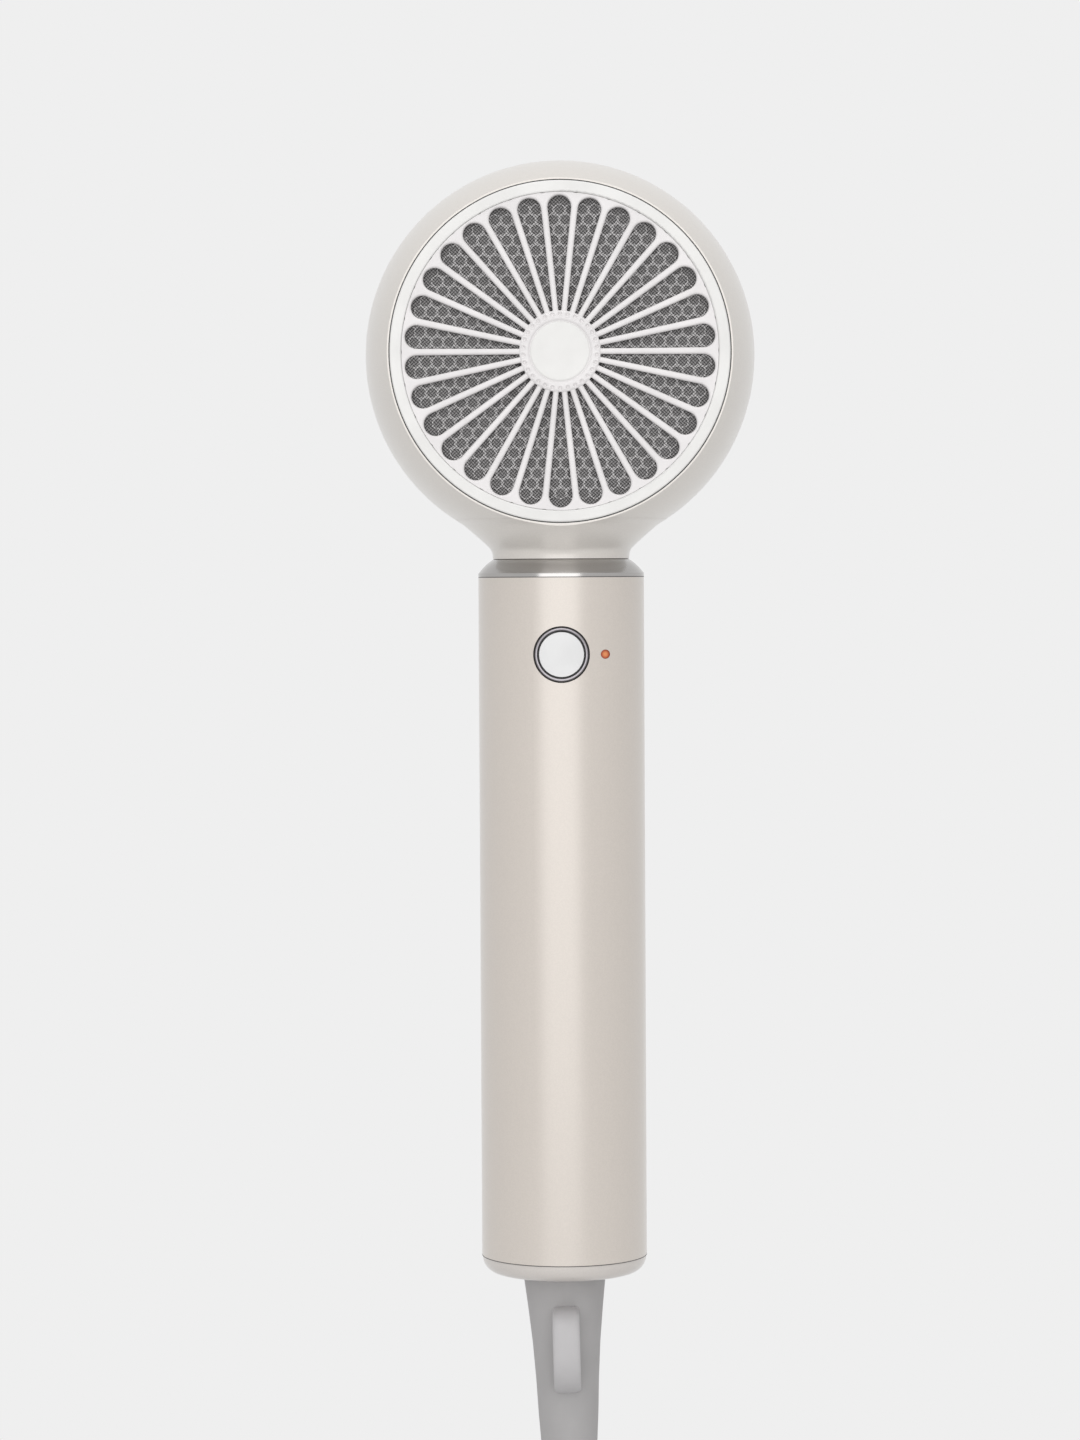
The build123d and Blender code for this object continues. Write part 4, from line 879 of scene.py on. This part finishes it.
# distance down the sleeve from the cap, and its radius there
RELIEF = (
    (0.0, 0.00924),
    (0.004, 0.00876),
    (0.008, 0.0083),
    (0.0165, 0.00745),
    (0.025, 0.0069),
    (0.033, 0.00655),
    (0.045, 0.0058),
    (0.054, 0.00505),
    (0.0568, 0.00485),
    (0.058, 0.0042),
    (0.058, 0.00352),
)
RELIEF_SWELL = 0.00035
LOOP_TOP, LOOP_LOW, LOOP_OUT = 0.0068, 0.0274, 0.0152
LOOP_W, LOOP_T, LOOP_FOOT = 0.0062, 0.0023, 0.0012
LOOP_ROOT = 0.0016  # how far its ends reach into the sleeve
UPPER_BOW, LOWER_BOW = (0.42, 0.62), (1.1, 1.05)
STRAP_STEPS, STRAP_ROUND = 72, 24


def relief_place(x, y, down):
    """A point down the leaning sleeve, from its own axis."""
    return (
        x * math.cos(LEAN) + down * math.sin(LEAN),
        y,
        CAP_BOTTOM + x * math.sin(LEAN) - down * math.cos(LEAN),
    )


def relief_radius(down):
    """Radius of the sleeve's taper at a distance down."""
    for (a, ra), (b, rb) in zip(RELIEF, RELIEF[1:]):
        if a <= down <= b and b > a:
            return ra + (rb - ra) * (down - a) / (b - a)
    return RELIEF[0][1]


def power(value, exponent):
    """The value raised to the exponent, with its sign kept."""
    return math.copysign(abs(value) ** exponent, value)


relief = bmesh.new()
profile = [(relief_radius(0.001 * i) + RELIEF_SWELL, 0.001 * i) for i in range(57)]
profile += [(r, d) for d, r in RELIEF[-3:]]
lathe(relief, profile, relief_place)
make("strain_relief_sleeve", relief, "grey_rubber", "root", ["strain_relief"], auto=60)

strap = bmesh.new()
middle = (LOOP_TOP + LOOP_LOW) / 2
half = (LOOP_LOW - LOOP_TOP) / 2 - LOOP_T / 2
centre = []
for j in range(STRAP_STEPS + 1):
    turn = math.pi * j / STRAP_STEPS
    # a D seen from the side: out from the sleeve, down, and back in
    lift, drop = math.sin(turn), -math.cos(turn)
    full, tall = UPPER_BOW if drop < 0 else LOWER_BOW
    out = abs(lift) ** full
    down = middle + half * power(drop, tall)
    inside = relief_radius(down) - LOOP_ROOT
    centre.append((-(inside + (LOOP_OUT - LOOP_T / 2 - inside) * out), down))
rows = []
for j, (y, down) in enumerate(centre):
    before, after = centre[max(j - 1, 0)], centre[min(j + 1, STRAP_STEPS)]
    ty, td = after[0] - before[0], after[1] - before[1]
    size = math.hypot(ty, td) or 1
    ny, nd = td / size, -ty / size
    # seen from the button's side, the strap ends in a full arch above and in small corners below
    above = min((down - LOOP_TOP + LOOP_T / 2) / (LOOP_W / 2), 1)
    below = min((LOOP_LOW + LOOP_T / 2 - down) / LOOP_FOOT, 1)
    wide = LOOP_W / 2 * math.sqrt(max(1 - (1 - above) ** 2, 0.02))
    wide -= LOOP_FOOT * (1 - math.sqrt(max(1 - (1 - below) ** 2, 0)))
    row = []
    for i in range(STRAP_ROUND):
        turn = 2 * math.pi * i / STRAP_ROUND
        x = wide * power(math.cos(turn), 0.55)
        rise = LOOP_T / 2 * power(math.sin(turn), 0.75)
        row.append(strap.verts.new(relief_place(x, y + ny * rise, down + nd * rise)))
    rows.append(row)
skin(strap, rows)
strap.faces.new(rows[0])
strap.faces.new(rows[-1])
hanging = make("hanging_loop", strap, "grey_rubber", "root")
# the strap is the sleeve's rubber tinted lighter: painted highlight on its outward bow
hanging.data.materials[0] = moulded("loop_rubber_painted_highlight", tint(185, 183, 184), 0.5, 2600, 0.000012)

# ---------------------------------------------------------------- plug
# Two-pin plug moulded on the lead: a ribbed sleeve that swells into soft shoulders, a waisted
# body with finger ridges on its narrow sides, and a rounded face round the pins.
SLEEVE, PLUG_END = 0.016, 0.050
SLEEVE_R, SLEEVE_FLARE = 0.0041, 0.0013
PLUG_W, PLUG_T, PLUG_ROUND = 0.0172, 0.0103, 0.0016
SHOULDER_FROM, SHOULDER_LONG = 0.0145, 0.0125
GROOVES, GROOVE_FROM, GROOVE_PITCH, GROOVE_W, GROOVE_DEEP = 4, 0.0035, 0.0031, 0.00085, 0.0007
RIDGE_AT, RIDGE_PITCH, RIDGE_DEEP = 0.030, 0.0026, 0.00045
RIDGES_FROM, RIDGES_TO, RIDGES_FADE = 0.0285, 0.0445, 0.001
WAIST_FROM, WAIST_LONG, WAIST_DEEP = 0.024, 0.022, 0.0009


def plug_size(down):
    """Half width, half thickness and squareness of the plug's section, down from the lead."""
    swell = smooth((down - SHOULDER_FROM) / SHOULDER_LONG)
    sleeve_r = SLEEVE_R + SLEEVE_FLARE * min(down / SLEEVE, 1)
    groove = 0.0
    for i in range(GROOVES):
        groove += smooth(1 - abs(down - GROOVE_FROM - GROOVE_PITCH * i) / GROOVE_W)
    groove *= GROOVE_DEEP
    ridges = 0.5 + 0.5 * math.cos(2 * math.pi * (down - RIDGE_AT) / RIDGE_PITCH)
    held = smooth((down - RIDGES_FROM) / RIDGES_FADE) * smooth((RIDGES_TO - down) / RIDGES_FADE)
    grip = math.sin(math.pi * min(max((down - WAIST_FROM) / WAIST_LONG, 0), 1))
    wide = sleeve_r + (PLUG_W - sleeve_r) * swell - groove - RIDGE_DEEP * ridges * held
    thick = sleeve_r + (PLUG_T - sleeve_r) * swell - groove - WAIST_DEEP * grip
    face = max(down - PLUG_END + PLUG_ROUND, 0) / PLUG_ROUND
    pull = PLUG_ROUND * (1 - math.sqrt(max(1 - face * face, 0)))
    return wide - pull, thick - pull, 2 + 1.8 * swell


def plug_row(build, down, shrink=0.0, count=96):
    """One ring of corners round the plug."""
    wide, thick, squareness = plug_size(down)
    row = []
    for i in range(count):
        turn = 2 * math.pi * i / count
        x = power(math.cos(turn), 2 / squareness) * (wide - shrink)
        y = power(math.sin(turn), 2 / squareness) * (thick - shrink)
        row.append(build.verts.new((PLUG_TOP[0] + x, PLUG_TOP[1] + y, PLUG_TOP[2] - down)))
    return row


moulding = bmesh.new()
rows = [plug_row(moulding, 0.0, 0.0008)]
rows += [plug_row(moulding, 0.0003 * i) for i in range(1, 162)]
rows += [plug_row(moulding, PLUG_END - 0.0014 + 0.0002 * i) for i in range(8)]
skin(moulding, rows)
for row in (rows[0], rows[-1]):
    moulding.faces.new(row)
plug_body = make("moulded_plug", moulding, "grey_rubber", "root", ["plug"], auto=50)

# ---------------------------------------------------------------- hook and loop tie
# Textile strap round the hank's waist, one turn and a little over, its loose end laid on itself.
STRAP_T, STRAP_H = 0.0011, 0.012
TIE_X, TIE_Y, TIE_CORNER = 0.01375, 0.0183, 0.0040
TIE_START, TIE_LAPS = 40, 1.3
END_LIFT, LIFT_BEFORE, LIFT_LONG = 0.00118, 0.006, 0.005

loop = []
for quarter in range(4):
    # along one side to its corner, then round it: place on the strap's middle and the way out
    mid_x = (TIE_X - TIE_CORNER) * (1 if quarter in (0, 3) else -1)
    mid_y = (TIE_Y - TIE_CORNER) * (1 if quarter < 2 else -1)
    for i in range(13):
        turn = math.pi / 2 * (quarter + i / 12)
        out = Vector((math.cos(turn), math.sin(turn), 0))
        loop.append((Vector((mid_x, mid_y, HANK_MIDDLE)) + out * TIE_CORNER, out))
track = []
for j in range(round(len(loop) * TIE_LAPS)):
    here, out = loop[(j + TIE_START) % len(loop)]
    after = loop[(j + TIE_START + 1) % len(loop)][0]
    parts = 8 if (after - here).length > 0.002 else 1
    for k in range(parts):
        track.append((here.lerp(after, k / parts), out))
tie_build = bmesh.new()
rows, walked, last = [], 0.0, track[0][0]
one_lap = sum((b[0] - a[0]).length for a, b in zip(loop, loop[1:] + loop[:1]))
for here, out in track:
    walked, last = walked + (here - last).length, here
    lift = END_LIFT * smooth((walked - one_lap + LIFT_BEFORE) / LIFT_LONG)
    row = []
    for i in range(20):
        turn = 2 * math.pi * i / 20
        across = power(math.cos(turn), 0.6) * STRAP_T / 2 + lift
        up = power(math.sin(turn), 0.25) * STRAP_H / 2
        row.append(tie_build.verts.new(here + out * across + Vector((0, 0, up))))
    rows.append(row)
skin(tie_build, rows)
for row in (rows[0], rows[-1]):
    tie_build.faces.new(row)
tie = make("textile_tie", tie_build, "tie_strap", "root", ["cord_tie"], auto=60)

# ---------------------------------------------------------------- lead
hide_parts("cord", "cord_tail", "cord_hank")
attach(lead, "root")
dress(lead, "cord_jacket")

bpy.context.view_layer.update()
